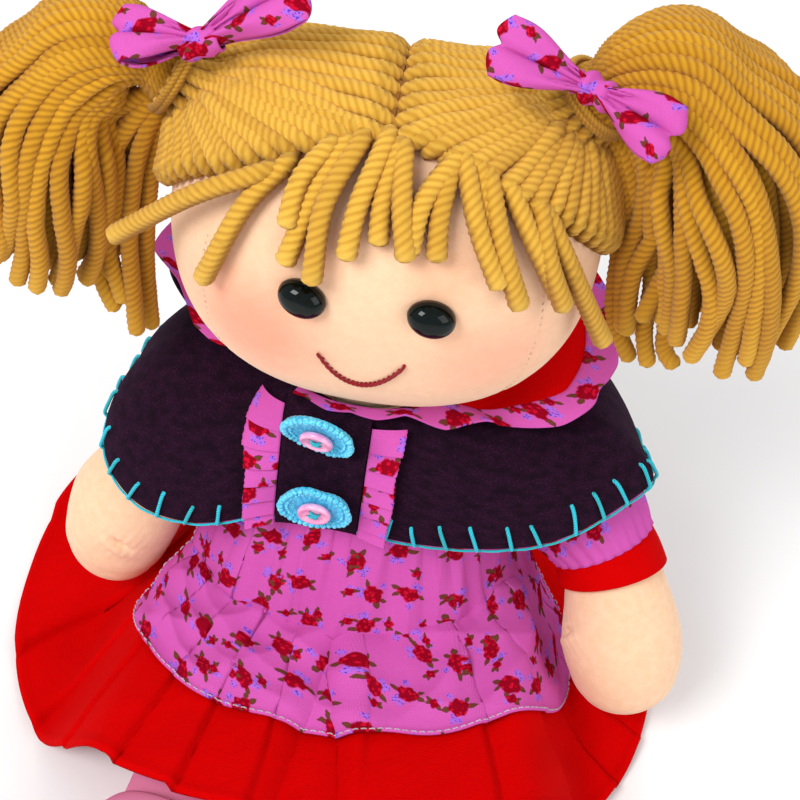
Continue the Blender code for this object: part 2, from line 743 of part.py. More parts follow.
def bodice_block(name, side):
    """A cutter: the block whose flat side the arm and sleeve turn against."""
    keep = bodice_reach() + seam_gap
    x = (-side * torso_width, side * keep)
    y = (-torso_depth, torso_depth)
    z = (0.0, 2 * torso_height)
    points = [(a, b, c) for a in x for b in y for c in z]
    faces = [(0, 1, 3, 2), (4, 6, 7, 5), (0, 4, 5, 1), (2, 3, 7, 6), (0, 2, 6, 4), (1, 5, 7, 3)]
    return cutter(name, points, faces)


def make_arm(side, word, path_shares):
    """A stuffed arm that ends in a mitten hand, cut flat where it lies against the bodice."""
    line = arm_line(side, path_shares)
    ahead = tangents_of(line)
    halves = arm_halves(len(line))
    balls, ball_halves = root_ball(line[0], ahead[0], halves[0])
    centres = np.vstack([balls, line])
    aheads = np.vstack([np.repeat(ahead[:1], len(balls), axis=0), ahead])
    halves = np.concatenate([ball_halves, halves])
    rings = tube_rings(centres, aheads, halves, halves, (0, -1, 0.2), 20)
    return cut_away(loft("arm_" + word, rings, skin_finish), bodice_block("arm_flat_" + word, side))


def sleeve_grid(side, path_shares, spread, first, last, count):
    """Rings round the arm between two shares of its length."""
    line = arm_line(side, path_shares)
    ahead = tangents_of(line)
    halves = arm_halves(len(line))
    own = np.linspace(0, 1, len(line))
    at = np.linspace(first, last, count)
    centres = np.stack([np.interp(at, own, line[:, k]) for k in range(3)], axis=1)
    aheads = np.stack([np.interp(at, own, ahead[:, k]) for k in range(3)], axis=1)
    wide = np.interp(at, own, halves) + spread
    return centres, aheads, wide


def make_sleeve(side, word, path_shares):
    """A short puffed sleeve: a shell round the upper arm, cut flat at the bodice."""
    layers = []
    count = 6
    for spread, puff in ((sleeve_gap, 0.0), (sleeve_gap + sleeve_thickness, 1.0)):
        centres, aheads, wide = sleeve_grid(side, path_shares, spread, 0.0, sleeve_end_share, count)
        root = wide[0]
        balls, ball_halves = root_ball(centres[0], aheads[0], root)
        centres = np.vstack([balls, centres])
        aheads = np.vstack([np.repeat(aheads[:1], len(balls), axis=0), aheads])
        wide = np.concatenate([ball_halves, wide])
        layers.append(np.array(tube_rings(centres, aheads, wide, wide, (0, -1, 0.2), 20)))
    sleeve = shell("sleeve_" + word, layers[0], layers[1], True, floral_finish)
    return cut_away(sleeve, bodice_block("sleeve_flat_" + word, side))


def make_cuff(side, word, path_shares):
    """The red band that the sleeve is gathered into."""
    first = sleeve_end_share + 0.012
    last = first + cuff_length_share
    layers = []
    for spread in (sleeve_gap, sleeve_gap + cuff_thickness):
        centres, aheads, wide = sleeve_grid(side, path_shares, spread, first, last, 3)
        layers.append(np.array(tube_rings(centres, aheads, wide, wide, (0, -1, 0.2), 20)))
    return shell("cuff_" + word, layers[0], layers[1], True, red_finish)


def hip(side):
    return np.array([side * hip_spacing / 2, -hip_forward, leg_diameter / 2 - flat_cut])


def leg_ahead(side):
    return np.array([side * sin(radians(leg_splay)), -cos(radians(leg_splay)), 0])


def make_leg(side, word):
    """A stuffed leg that lies on the table, flat where it touches it."""
    root, ahead = hip(side), leg_ahead(side)
    balls, ball_halves = root_ball(root, ahead, leg_diameter / 2)
    shares = np.linspace(0, 1, 8)
    centres = np.vstack([balls, root + ahead * leg_length * shares[:, None]])
    swell = leg_diameter / 2 + (ankle_diameter - leg_diameter) / 2 * ease(shares * 1.4 - 0.4)
    halves = np.concatenate([ball_halves, swell])
    rings = tube_rings(centres, np.repeat(ahead[None], len(centres), axis=0), halves, halves, (0, 0, 1), 20)
    for ring in rings:
        for point in ring:
            point[2] = max(point[2], 0)
    return loft("leg_" + word, rings, pink_finish)


def make_foot(side, word):
    """A rounded foot sewn to the end of the leg, flat below."""
    root, ahead = hip(side), leg_ahead(side)
    aside = np.array([-ahead[1], ahead[0], 0])
    heel = leg_length + seam_gap
    middle = root + ahead * (heel + foot_length * 0.42)
    middle[2] = foot_height / 2 - flat_cut
    half_long = foot_length * 0.58
    rings = []
    for step in np.sin(np.radians(np.linspace(-47, 86, 11))):
        wide = sqrt(max(1 - abs(step) ** 2.3, 0)) or flat_cut
        place = middle + ahead * half_long * step
        turns = np.arange(20) * 2 * pi / 20
        ring = [place + aside * foot_width / 2 * wide * cos(a) + np.array([0, 0, foot_height / 2 * wide * sin(a)])
                for a in turns]
        for point in ring:
            point[2] = max(point[2], 0)
            short = heel - np.dot(point - root, ahead)
            point += ahead * max(short, 0)
        rings.append(ring)
    return loft("foot_" + word, rings, pink_finish)


# Dress

def make_bodice():
    heights = np.linspace(bodice_bottom, bodice_top, 5)
    inner = np.array([torso_section(height, -cotton) for height in heights])
    outer = np.array([torso_section(height, 2 * seam_gap + cotton) for height in heights])
    bodice = shell("bodice", inner, outer, True, floral_finish)
    return cut_away(bodice, hidden(torso_solid("bodice_inside", 2 * seam_gap)))


def skirt_ring_turns(count):
    return np.arange(count) * 2 * pi / count


def skirt_grid(turns, shares, lift):
    """The skirt's inner side: a waist on the bodice, a hem on the table, and a lap over both legs."""
    turns, shares = np.meshgrid(turns, shares)
    waist_height = waist_side_height + (waist_front_height - waist_side_height) * np.sin(turns) ** 2
    tables = np.array(torso_shares)
    at = waist_height / torso_height
    spread = seam_gap * 3 + cotton
    waist_x = torso_width / 2 * np.interp(at, tables[:, 0], tables[:, 1]) + spread
    waist_y = torso_depth / 2 * np.interp(at, tables[:, 0], tables[:, 2]) + spread
    waist = egg_radius(turns, waist_x, waist_y, torso_squareness)
    hem = egg_radius(turns, hem_width / 2, hem_depth / 2, hem_squareness)
    reach = waist + (hem - waist) * shares
    x = reach * np.cos(turns)
    y = reach * np.sin(turns) - belly_forward - (hem_forward - belly_forward) * shares
    z = waist_height * (1 - shares) ** skirt_fall
    lap = np.zeros_like(z)
    for side in (1, -1):
        root, ahead = hip(side), leg_ahead(side)
        away = np.abs((x - root[0]) * ahead[1] - (y - root[1]) * ahead[0]) - foot_width / 2
        along = (x - root[0]) * ahead[0] + (y - root[1]) * ahead[1]
        slope = 1 - ease(away / lap_slope_width)
        behind = ease((along + leg_diameter) / leg_diameter)
        lap = np.maximum(lap, (leg_diameter + lap_clearance) * slope * behind)
    between = ease(1 - np.abs(x) / (hip_spacing / 2 + leg_diameter)) * ease((-y - hip_forward) / hip_forward)
    lap = np.maximum(lap, leg_diameter * 0.72 * between)
    soft = leg_diameter / 6
    blend = np.clip(0.5 + (z - lap) / (2 * soft), 0, 1)
    z = lap + (z - lap) * blend + soft * blend * (1 - blend) * 0.5
    z = np.maximum(z, lap)
    fold = 0.5 - 0.5 * np.cos(skirt_pleats * turns)
    z = z + skirt_pleat_height * fold * np.sqrt(shares) * (shares > 0) + lift
    return np.stack([x, y, z], axis=2)


def outward_of(grid):
    """Away from the doll's own middle line, and up."""
    middle = np.array([0, -hem_forward / 2, 0])
    away = grid - middle
    away[..., 2] = np.linalg.norm(away[..., :2], axis=2)
    return away


def make_skirt():
    grid = skirt_grid(skirt_ring_turns(skirt_columns), np.array(skirt_row_shares), 0.0)
    up = normals_of(grid, True, outward_of(grid))
    return shell("skirt", grid, grid + up * cotton, True, red_finish)


def make_apron():
    """A rounded overskirt on the front of the skirt, that lies on the skirt's own facets."""
    step = 2 * pi / skirt_columns
    half = round(radians(apron_half_turn) / step)
    turns = -pi / 2 + np.arange(-half, half + 1) * step
    rows = np.array(skirt_row_shares)
    under = skirt_grid(turns, rows, 0.0)
    up = normals_of(under, False, outward_of(under))
    aside = np.abs(np.linspace(-1, 1, 2 * half + 1))
    lengths = apron_length_share - (apron_length_share - apron_corner_share) * aside ** 5
    lines = []
    for share in np.linspace(0, 1, len(rows)):
        lines.append([[np.interp(length * share, rows, layer[:, k, axis]) for axis in range(3)]
                      for layer in (under, up) for k, length in enumerate(lengths)])
    both = np.array(lines)
    grid, lift = both[:, :2 * half + 1], both[:, 2 * half + 1:]
    inside = cotton + 3 * seam_gap
    return shell("apron", grid + lift * inside, grid + lift * (inside + cotton), False, floral_finish)


# Cape and its trims

def cape_grid(turns, shares):
    """The cape's inner side: turns in degrees round the neck, shares from the neck to the hem."""
    shares = np.asarray(shares, float)[:, None]
    turns = (np.asarray(turns, float) + 180) % 360 - 180 + 0 * shares
    table = np.array(cape_hem_shares)
    hem = np.interp(turns, table[:, 0], table[:, 1]) * cape_width / 2
    hem_height = cape_neck_height - np.interp(turns, table[:, 0], table[:, 2]) * cape_drop
    turn = np.radians(turns)
    front = ease((-np.sin(turn) - 0.45) / 0.4)
    neck = egg_radius(turn, cape_neck_width / 2, cape_neck_depth / 2, 2.0)
    neck = neck + (cape_neck_front - neck) * front
    top = cape_neck_height + cape_front_rise * front
    front_reach = np.interp(shares, *np.array(cape_front_reach_shares).T)
    reach = neck + (hem - neck) * (shares + (front_reach - shares) * front)
    sideways = np.abs(np.cos(turn)) ** 1.4
    side_fall = np.interp(shares, *np.array(cape_side_fall_shares).T)
    front_fall = np.interp(shares, *np.array(cape_front_fall_shares).T)
    plain_fall = shares + (side_fall - shares) * sideways
    fall = plain_fall + (front_fall - plain_fall) * front
    height = top + (hem_height - top) * fall
    return np.stack([reach * np.cos(turn), reach * np.sin(turn), height], axis=2)


def opening_turn(share):
    """The turn of the front opening, which runs straight down at cape_opening_place."""
    reach = cape_grid([-90], [share])[0, 0]
    return -90 + np.degrees(np.arctan2(cape_opening_place, -reach[1]))


def cape_outward(grid):
    away = grid.copy()
    away[..., 2] = cape_neck_height / 2
    return away


def make_cape(side, word):
    """One half of the cape, from the opening under the placket round to the back seam."""
    shares = np.array(cape_row_shares)
    rows = []
    for share in shares:
        seam = np.degrees(2 * seam_gap / cape_neck_depth)
        first = opening_turn(share) + side * seam
        last = 90 - seam if side > 0 else seam - 270
        rows.append(cape_grid(first + (last - first) * np.linspace(0, 1, 20) ** 0.9, [share])[0])
    grid = np.array(rows)
    up = normals_of(grid, False, cape_outward(grid))
    return shell("cape_" + word, grid, grid + up * felt, False, felt_finish)


def cape_place(turn, share, lift):
    """A point lift above the cape's inner side, and the way out of the cloth there."""
    grid = cape_grid(np.array([turn - 1, turn, turn + 1]), np.clip([share - 0.04, share, share + 0.04], 0, 1.04))
    up = normals_of(grid, False, cape_outward(grid))[1, 1]
    return grid[1, 1] + up * lift, up


def strip_on_cape(name, first_share, first_width, last_width, low, wave, waves, thick, rows, finish):
    """A strip down the front of the cape between two widths from the opening, waved or flat."""
    inner, outer = [], []
    for share in np.linspace(first_share, 1, rows):
        middle, _ = cape_place(opening_turn(share), share, 0.0)
        reach = np.hypot(middle[0], middle[1])
        for layer, extra in ((inner, 0.0), (outer, thick)):
            row = []
            for k, width in enumerate(np.linspace(first_width, last_width, 4)):
                ripple = wave * (1 + sin(2 * pi * waves * share + pi / 2)) * k / 3
                turn = opening_turn(share) + np.degrees(width / reach)
                row.append(cape_place(turn, share, low + extra + ripple)[0])
            layer.append(row)
    return shell(name, np.array(inner), np.array(outer), False, finish)


def placket_low():
    return felt + 3 * seam_gap


def make_placket():
    half = placket_width / 2
    return strip_on_cape("placket", placket_first_share, -half, half, placket_low(), 0.0, 0, felt, 7, felt_finish)


def make_ruffle(side, word):
    inside = side * (placket_width / 2 + 3 * seam_gap)
    outside = inside + side * ruffle_width
    return strip_on_cape("ruffle_" + word, ruffle_first_share, inside, outside, placket_low() + 2 * seam_gap,
                         ruffle_wave, ruffle_waves, cotton, 25, floral_finish)


def rosette_place(share):
    """The middle of a rosette, which hangs steeper than the sloping placket."""
    place, out = cape_place(opening_turn(share), share, placket_low() + felt + 2 * seam_gap)
    droop = unit(out + (unit(out * (1, 1, 0)) - out) * rosette_droop_share)
    slope = sqrt(1 - np.dot(droop, out) ** 2)
    return place + out * (rosette_diameter / 2 * slope - rosette_seat), droop


def make_rosette(word, share):
    """A scalloped satin disc."""
    place, out = rosette_place(share)
    side, top = ring_frame(out, (0, 0, 1))
    count = rosette_scallops * 4
    turns = np.arange(count) * 2 * pi / count
    scallop = 1 - rosette_scallop_share / 2 + rosette_scallop_share / 2 * np.cos(rosette_scallops * turns)
    circle = (np.cos(turns) * scallop)[:, None] * side + (np.sin(turns) * scallop)[:, None] * top
    half = rosette_diameter / 2
    rings = [place + circle * half * 0.97, place + out * rosette_thickness / 2 + circle * half,
             place + out * rosette_thickness + circle * half * 0.94]
    return loft("rosette_" + word, rings, satin_finish)


def make_button(word, share):
    """A dished button with four holes."""
    place, out = rosette_place(share)
    place = place + out * (rosette_thickness + seam_gap)
    half = button_diameter / 2
    profile = [(half * 0.8, 0.0), (half, button_thickness / 2), (half - button_rim / 2, button_thickness),
               (half - button_rim, button_thickness - button_dish)]
    button = turned("button_" + word, profile, place, out, 20, button_finish)
    side, top = ring_frame(out, (0, 0, 1))
    for k in range(4):
        across = side * cos(pi / 4 + k * pi / 2) + top * sin(pi / 4 + k * pi / 2)
        centre = place + across * button_hole_spacing / sqrt(2)
        hole = cylinder_between("button_hole_" + word + str(k), centre - out * overrun, centre + out * overrun,
                                button_hole / 2, 8)
        cut_away(button, hole)
    return button


# Hood

def hood_grid(lift, shares, count):
    """The hood lying open round the neck: it rests on the shoulders and rises to its rim."""
    turns = np.radians(np.linspace(hood_first_turn, hood_last_turn, count))
    turn, share = np.meshgrid(turns, shares)
    neck = egg_radius(turn, cape_neck_width / 2, cape_neck_depth / 2, 2.0) + felt
    rim = egg_radius(turn, hood_width / 2, hood_depth / 2, 2.2)
    end = radians(hood_end_turn)
    opened = ease((turn - turns[0]) / end) * ease((turns[-1] - turn) / end)
    wide = hood_end_width_share + (1 - hood_end_width_share) * opened
    reach = neck + (rim - neck) * share * wide
    rise = hood_rim_rise * ease((share * wide - 0.45) / 0.55)
    base = cape_neck_height + cape_front_rise * ease((-np.sin(turn) - 0.45) / 0.4)
    height = base + felt + hood_gap + rise + lift
    return np.stack([reach * np.cos(turn), reach * np.sin(turn) + hood_back * share * opened, height], axis=2)


def make_hood():
    grid = hood_grid(0.0, np.linspace(0, 1, 6), 33)
    up = normals_of(grid, False, np.array([0.0, 0.0, 1.0]))
    return shell("hood", grid, grid + up * felt, False, felt_finish)


def make_hood_lining():
    grid = hood_grid(0.0, np.linspace(0, 1, 6), 33)[:, 1:-1]
    grid[0] = 0.7 * grid[0] + 0.3 * grid[1]
    grid[-1] = 0.85 * grid[-1] + 0.15 * grid[-2]
    up = normals_of(grid, False, np.array([0.0, 0.0, 1.0]))
    low = felt + seam_gap
    return shell("hood_lining", grid + up * low, grid + up * (low + lining_thickness), False, red_finish)


def make_hood_trim():
    """The gathered frill round the hood's opening."""
    count = trim_waves * 4 + 1
    grid = hood_grid(0.0, [0.92, 1.0], count)
    rim = grid[1]
    away = rim - grid[0]
    away /= np.linalg.norm(away, axis=1, keepdims=True)
    up = normals_of(grid, False, np.array([0.0, 0.0, 1.0]))[1]
    ripple = np.sin(np.linspace(0, 2 * pi * trim_waves, count))[:, None]
    start = rim + away * seam_gap * 2 + up * seam_gap
    inner = np.array([start + away * trim_width * s + up * ((1 + ripple) * trim_wave * s) for s in (0, 0.5, 1)])
    return shell("hood_trim", inner, inner + up * cotton, False, floral_finish)


def hang(name, place, pieces):
    """An empty on a joint's axis that carries the pieces that turn about it."""
    axle = bpy.data.objects.new(name, None)
    bpy.context.scene.collection.objects.link(axle)
    axle.location = place
    bpy.context.view_layer.update()
    for piece in pieces:
        piece.parent = axle
        piece.matrix_parent_inverse = axle.matrix_world.inverted()
    return axle


def main():
    for old in list(bpy.data.objects):
        bpy.data.objects.remove(old)
    make_torso()
    neck = make_neck()
    sides = ((1, "left"), (-1, "right"))
    arm_shares = {"left": left_arm_shares, "right": right_arm_shares}
    ties = {"left": left_tie_shares, "right": right_tie_shares}
    tails = {"left": left_pigtail_shares, "right": right_pigtail_shares}
    on_head = [make_head(), make_mouth(), make_fringe()]
    for side, word in sides:
        on_head.append(make_eye(side, word))
        on_head.append(make_hair(side, word, tie_place(ties[word])))
        on_head.append(make_tie(side, word, ties[word], tails[word]))
        tail = [make_pigtail(side, word, ties[word], tails[word]), make_bow(word, ties[word]),
                make_knot(word, ties[word])]
        hang("pigtail_axis_" + word, tie_place(ties[word]), tail)
        arm = [make_arm(side, word, arm_shares[word]), make_sleeve(side, word, arm_shares[word]),
               make_cuff(side, word, arm_shares[word])]
        hang("shoulder_axis_" + word, shoulder(side), arm)
        hang("hip_axis_" + word, hip(side), [make_leg(side, word), make_foot(side, word)])
    neck_axis = (0, 0, torso_height)
    hang("neck_axis", neck_axis, [neck])
    hang("head_axis", neck_axis, on_head)
    make_bodice()
    make_skirt()
    make_apron()
    make_cape(1, "left")
    make_cape(-1, "right")
    make_placket()
    make_ruffle(1, "left")
    make_ruffle(-1, "right")
    for word, share in zip(("top", "bottom"), rosette_place_shares):
        make_rosette(word, share)
        make_button(word, share)
    make_hood()
    make_hood_lining()
    make_hood_trim()


main()
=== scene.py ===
# %% [markdown]
# # A rag doll with yarn pigtails and a felt cape
# This lesson dresses the plain solids of a seated rag doll, about 24 cm high. The solids give every place
# in metres, with +Z up and the doll facing -Y, and its left is +X. Each step says what a piece is on the
# real doll, how it could be made, and why it is made the way it is here. All soft pieces are new meshes
# that lie where their solids lie.

# %% The frame and the tools
import bmesh
import bpy
import numpy as np
from math import cos, degrees, pi, radians, sin, sqrt
from mathutils import Matrix, Vector


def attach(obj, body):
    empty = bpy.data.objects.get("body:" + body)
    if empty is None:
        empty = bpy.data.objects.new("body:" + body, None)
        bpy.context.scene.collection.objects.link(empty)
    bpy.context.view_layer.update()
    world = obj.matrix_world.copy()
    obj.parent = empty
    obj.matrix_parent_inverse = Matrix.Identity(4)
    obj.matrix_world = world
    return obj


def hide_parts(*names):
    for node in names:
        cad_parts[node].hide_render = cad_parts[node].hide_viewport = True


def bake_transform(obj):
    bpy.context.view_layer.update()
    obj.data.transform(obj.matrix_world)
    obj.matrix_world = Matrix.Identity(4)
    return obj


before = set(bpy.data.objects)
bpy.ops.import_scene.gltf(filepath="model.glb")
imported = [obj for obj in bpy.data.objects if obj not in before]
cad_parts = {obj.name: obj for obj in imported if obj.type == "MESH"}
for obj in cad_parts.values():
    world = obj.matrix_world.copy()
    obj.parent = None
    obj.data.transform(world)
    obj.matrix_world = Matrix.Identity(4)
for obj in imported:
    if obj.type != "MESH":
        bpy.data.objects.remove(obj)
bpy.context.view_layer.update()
MM = 0.001


def linked(name, data):
    """A new object of some data, placed in the scene."""
    made = bpy.data.objects.new(name, data)
    bpy.context.scene.collection.objects.link(made)
    return made


# %% [markdown]
# ## The camera, the lamps and the floor
# The picture is taken from above and in front, with the camera tilted a little to one side. The camera is
# placed by one known point: the middle of the face, at the pixel where the picture shows it, at a known
# distance. The light is plain: one large soft lamp from the upper left, a weaker one from the right, one
# from behind, and a bright world. The floor is pale and keeps the shadow.

# %% The camera
picture_width = 800
camera_lens = 72
sensor_width = 36
camera_elevation = radians(50)
camera_roll = radians(8)
face_point = np.array([0, 0, 171]) * MM
face_pixel = (388, 222)
face_distance = 451 * MM

back = np.array([0, -cos(camera_elevation), sin(camera_elevation)])
level = np.array([1.0, 0.0, 0.0])
right = level * cos(camera_roll) + np.cross(back, level) * sin(camera_roll)
up = np.cross(back, right)
pixel = face_distance * sensor_width / camera_lens / picture_width
aside = (face_pixel[0] - picture_width / 2) * pixel
above = (picture_width / 2 - face_pixel[1]) * pixel
eye_point = face_point + back * face_distance - right * aside - up * above


def pixels_of(places):
    """Where places are seen in the picture, and how far along the view."""
    away = places - eye_point
    far = -(away @ back)
    scale = face_distance / pixel / far
    return np.stack([picture_width / 2 + (away @ right) * scale, picture_width / 2 - (away @ up) * scale],
                    -1), far


def sight_lines(pixels):
    """The directions in which the camera sees pixels."""
    aside, above = np.moveaxis(np.asarray(pixels, float) - picture_width / 2, -1, 0) * pixel / face_distance
    way = right * aside[..., None] - up * above[..., None] - back
    return way / np.linalg.norm(way, axis=-1, keepdims=True)


camera = linked("camera", bpy.data.cameras.new("camera"))
camera.data.lens = camera_lens
camera.data.sensor_width = sensor_width
camera.data.clip_start = 0.01
turn_and_place = np.column_stack([right, up, back, eye_point])
camera.matrix_world = Matrix([*turn_and_place.tolist(), [0, 0, 0, 1]])
bpy.context.scene.camera = camera


# %% The lamps, the world and the floor
def lamp(name, place, aim, size, power):
    """A square soft lamp that shines from place to aim."""
    light = bpy.data.lights.new(name, "AREA")
    light.shape = "SQUARE"
    light.size = size
    light.energy = power
    made = linked(name, light)
    made.location = place
    made.rotation_mode = "QUATERNION"
    made.rotation_quaternion = (Vector(aim) - Vector(place)).to_track_quat("-Z", "Y")


doll_middle = (0, -0.02, 0.12)
lamp("window_light", (-0.5, -0.55, 0.95), doll_middle, 0.45, 8.5)
lamp("fill_light", (0.8, -0.45, 0.55), doll_middle, 0.6, 2.6)
lamp("back_light", (0.1, 0.8, 0.8), doll_middle, 0.5, 2.5)
bpy.context.scene.view_settings.view_transform = "Standard"

world_strength = 0.62
world = bpy.data.worlds.new("studio")
world.use_nodes = True
bpy.context.scene.world = world
sky = world.node_tree.nodes["Background"]
ray = world.node_tree.nodes.new("ShaderNodeLightPath")
strength = world.node_tree.nodes.new("ShaderNodeMix")
strength.inputs["A"].default_value = world_strength
strength.inputs["B"].default_value = 1.0
world.node_tree.links.new(ray.outputs["Is Camera Ray"], strength.inputs["Factor"])
world.node_tree.links.new(strength.outputs["Result"], sky.inputs["Strength"])
sky.inputs["Color"].default_value = (1, 1, 1, 1)

floor_half = 3.0
floor_mesh = bpy.data.meshes.new("floor")
floor_corners = [(-1, -1), (1, -1), (1, 1), (-1, 1)]
floor_mesh.from_pydata([(x * floor_half, y * floor_half, 0) for x, y in floor_corners], [], [(0, 1, 2, 3)])
floor = linked("floor", floor_mesh)
floor_paint = bpy.data.materials.new("pale_floor")
floor_paint.use_nodes = True
floor_shader = floor_paint.node_tree.nodes["Principled BSDF"]
floor_shader.inputs["Base Color"].default_value = (0.9, 0.9, 0.9, 1)
floor_shader.inputs["Roughness"].default_value = 0.9
floor_mesh.materials.append(floor_paint)

# %% [markdown]
# ## Plain helpers
# A few small functions do the geometry: a smooth step, a smooth curve through points, a rounded box seen
# from above, and a soft table look-up, which turns a short list of places into a smooth line. Each name
# says what it gives.


# %% Curves and tables
def unit(vector):
    vector = np.asarray(vector, float)
    return vector / np.linalg.norm(vector, axis=-1, keepdims=True)


def ease(value):
    """0 to 1 with a level start and end."""
    value = np.clip(value, 0, 1)
    return value * value * (3 - 2 * value)


def egg_radius(turn, half_x, half_y, squareness):
    """Distance from the middle to a superellipse, in the direction of turn."""
    wide = np.abs(np.cos(turn) / half_x) ** squareness + np.abs(np.sin(turn) / half_y) ** squareness
    return wide ** (-1 / squareness)


def smooth_line(points, count):
    """count points along a Catmull-Rom curve through the given points."""
    points = np.array(points, float)
    padded = np.vstack([2 * points[0] - points[1], points, 2 * points[-1] - points[-2]])
    steps = np.linspace(0, len(points) - 1, count)
    first = np.minimum(steps.astype(int), len(points) - 2)
    t = (steps - first)[:, None]
    a, b, c, d = (padded[first + k] for k in range(4))
    return 0.5 * (2 * b + (c - a) * t + (2 * a - 5 * b + 4 * c - d) * t ** 2
                  + (3 * b - a - 3 * c + d) * t ** 3)


def soft_table(value, table):
    """A smooth curve through a table of places and heights, read at value."""
    places, heights = np.array(table, float).T
    slopes = np.gradient(heights, places)
    value = np.clip(value, places[0], places[-1])
    k = np.clip(np.searchsorted(places, value) - 1, 0, len(places) - 2)
    span = places[k + 1] - places[k]
    t = (value - places[k]) / span
    bend_in = slopes[k] * span
    bend_out = slopes[k + 1] * span
    low, high = heights[k], heights[k + 1]
    return (low * (1 + 2 * t) * (1 - t) ** 2 + bend_in * t * (1 - t) ** 2 + high * t ** 2 * (3 - 2 * t)
            - bend_out * t ** 2 * (1 - t))


def tangents_of(line):
    return unit(np.gradient(line, axis=0))


def ring_frame(tangent, up_hint):
    """Two directions square to a tangent: sideways, and as near to up_hint as it goes."""
    side = unit(np.cross(tangent, up_hint))
    return side, unit(np.cross(side, tangent))


def travelled(points, axis=0):
    """How far each point lies along its line, from the first."""
    steps = np.linalg.norm(np.diff(points, axis=axis), axis=-1)
    return np.insert(np.cumsum(steps, axis=axis), 0, 0.0, axis=axis)


def points_at(places, gone, line):
    """The points of a line at places on it, which gone measures."""
    return np.stack([np.interp(places, gone, line[:, c]) for c in range(3)], axis=1)


def full_turn(count):
    """Even turns round a circle, in radians."""
    return np.arange(count) * 2 * pi / count


def waves(place, seed, count, low, high):
    """A sum of sines of irregular widths, the same each run: a gentle unevenness from about -1 to 1."""
    chance = np.random.default_rng(seed)
    total = np.zeros_like(np.asarray(place, float))
    for _ in range(count):
        total = total + np.sin(place * chance.uniform(low, high) + chance.uniform(0, 2 * pi))
    return total / sqrt(count)


# %% [markdown]
# ## From grids to pieces
# Cloth is made as a grid of points that gets an inner and an outer side, so that it has a real thickness.
# Each grid carries a flat map in metres, so a print or a weave keeps its size when the cloth curves.
# Stuffed pieces are rings joined in turn and closed at both poles. Every piece rides on a body or on none,
# and the solids that it stands for are hidden.


# %% Meshes from grids and rings
piece_faces = {}


def mesh_object(name, points, faces, corners=None):
    """An object from points and faces, with a flat map if the corners of each face are given."""
    mesh = bpy.data.meshes.new(name)
    mesh.from_pydata(np.asarray(points).tolist(), [], faces)
    if corners is not None:
        layer = mesh.uv_layers.new(name="flat_map")
        layer.data.foreach_set("uv", np.asarray(corners, np.float32).ravel())
    mesh.shade_smooth()
    return linked(name, mesh)


def grid_normals(grid, outward, wrap=False):
    """Unit normals of a grid, turned to the side that outward gives."""
    along = np.gradient(grid, axis=0)
    across = (np.roll(grid, -1, 1) - np.roll(grid, 1, 1)) / 2 if wrap else np.gradient(grid, axis=1)
    normal = np.cross(along, across)
    normal = normal / np.maximum(np.linalg.norm(normal, axis=2, keepdims=True), 1e-12)
    facing = np.sign(np.sum(normal * outward, axis=2, keepdims=True))
    return normal * np.where(facing == 0, 1, facing)


def closed_round(grid, wrap):
    return np.concatenate([grid, grid[:, :1]], axis=1) if wrap else grid


def flat_map_of(grid, wrap=False, even=False):
    """Metres along each row from its middle, and down each column from the first row.

    Even gives all rows the mean row's lengths, and all columns the mean column's, as on a gathered strip.
    """
    across = travelled(closed_round(grid, wrap), 1)
    down = closed_round(travelled(grid), wrap)
    if even:
        across, down = 0 * across + across.mean(0), 0 * down + down.mean(1, keepdims=True)
    return np.stack([across - across[:, -1:] / 2, down], axis=2)


def cloth(name, inner, outer, wrap=False, even=False, flat=None):
    """A sheet with an inner and an outer grid, closed along its rims."""
    rows, columns = inner.shape[:2]
    size = rows * columns
    spans = range(columns if wrap else columns - 1)
    flat = flat_map_of(outer, wrap, even) if flat is None else flat
    row, column = (k.ravel() for k in np.meshgrid(np.arange(rows - 1), spans, indexing="ij"))
    around = [(row, column), (row, column + 1), (row + 1, column + 1), (row + 1, column)]
    quads = np.stack([r * columns + c % columns for r, c in around], axis=1)
    corners = np.stack([flat[r, c] for r, c in around], axis=1)
    faces = [*(quads + size), *quads[:, ::-1]]
    places = [*corners, *corners[:, ::-1]]
    rims = [rim for c in spans for rim in ((0, c + 1, 0, c), (rows - 1, c, rows - 1, c + 1))]
    if not wrap:
        rims += [rim for r in range(rows - 1)
                 for rim in ((r, 0, r + 1, 0), (r + 1, columns - 1, r, columns - 1))]
    for r1, c1, r2, c2 in rims:
        first, last = r1 * columns + c1 % columns, r2 * columns + c2 % columns
        faces.append(np.array([first, last, last + size, first + size]))
        places.append(flat[[r1, r2, r2, r1], [c1, c2, c2, c1]])
    made = mesh_object(name, np.vstack([inner.reshape(-1, 3), outer.reshape(-1, 3)]),
                       [face.tolist() for face in faces], np.concatenate(places))
    face_out(made)
    return made


def rings_closed(name, rings):
    """Rings joined in turn, with a pole over each end."""
    rings = np.array(rings)
    rows, count = rings.shape[:2]
    first, last = rows * count, rows * count + 1
    points = np.vstack([rings.reshape(-1, 3), rings[0].mean(0)[None], rings[-1].mean(0)[None]])
    pairs = [(k, (k + 1) % count) for k in range(count)]
    faces = [(row + k, row + after, row + count + after, row + count + k)
             for row in range(0, (rows - 1) * count, count) for k, after in pairs]
    for k, after in pairs:
        faces += [(after, k, first), (first - count + k, first - count + after, last)]
    made = mesh_object(name, points, faces)
    face_out(made)
    return made


def face_out(made):
    """Turns every face outwards, by the sign of the volume that they close."""
    shape = bmesh.new()
    shape.from_mesh(made.data)
    bmesh.ops.recalc_face_normals(shape, faces=shape.faces)
    if shape.calc_volume(signed=True) < 0:
        bmesh.ops.reverse_faces(shape, faces=shape.faces)
    shape.to_mesh(made.data)
    shape.free()


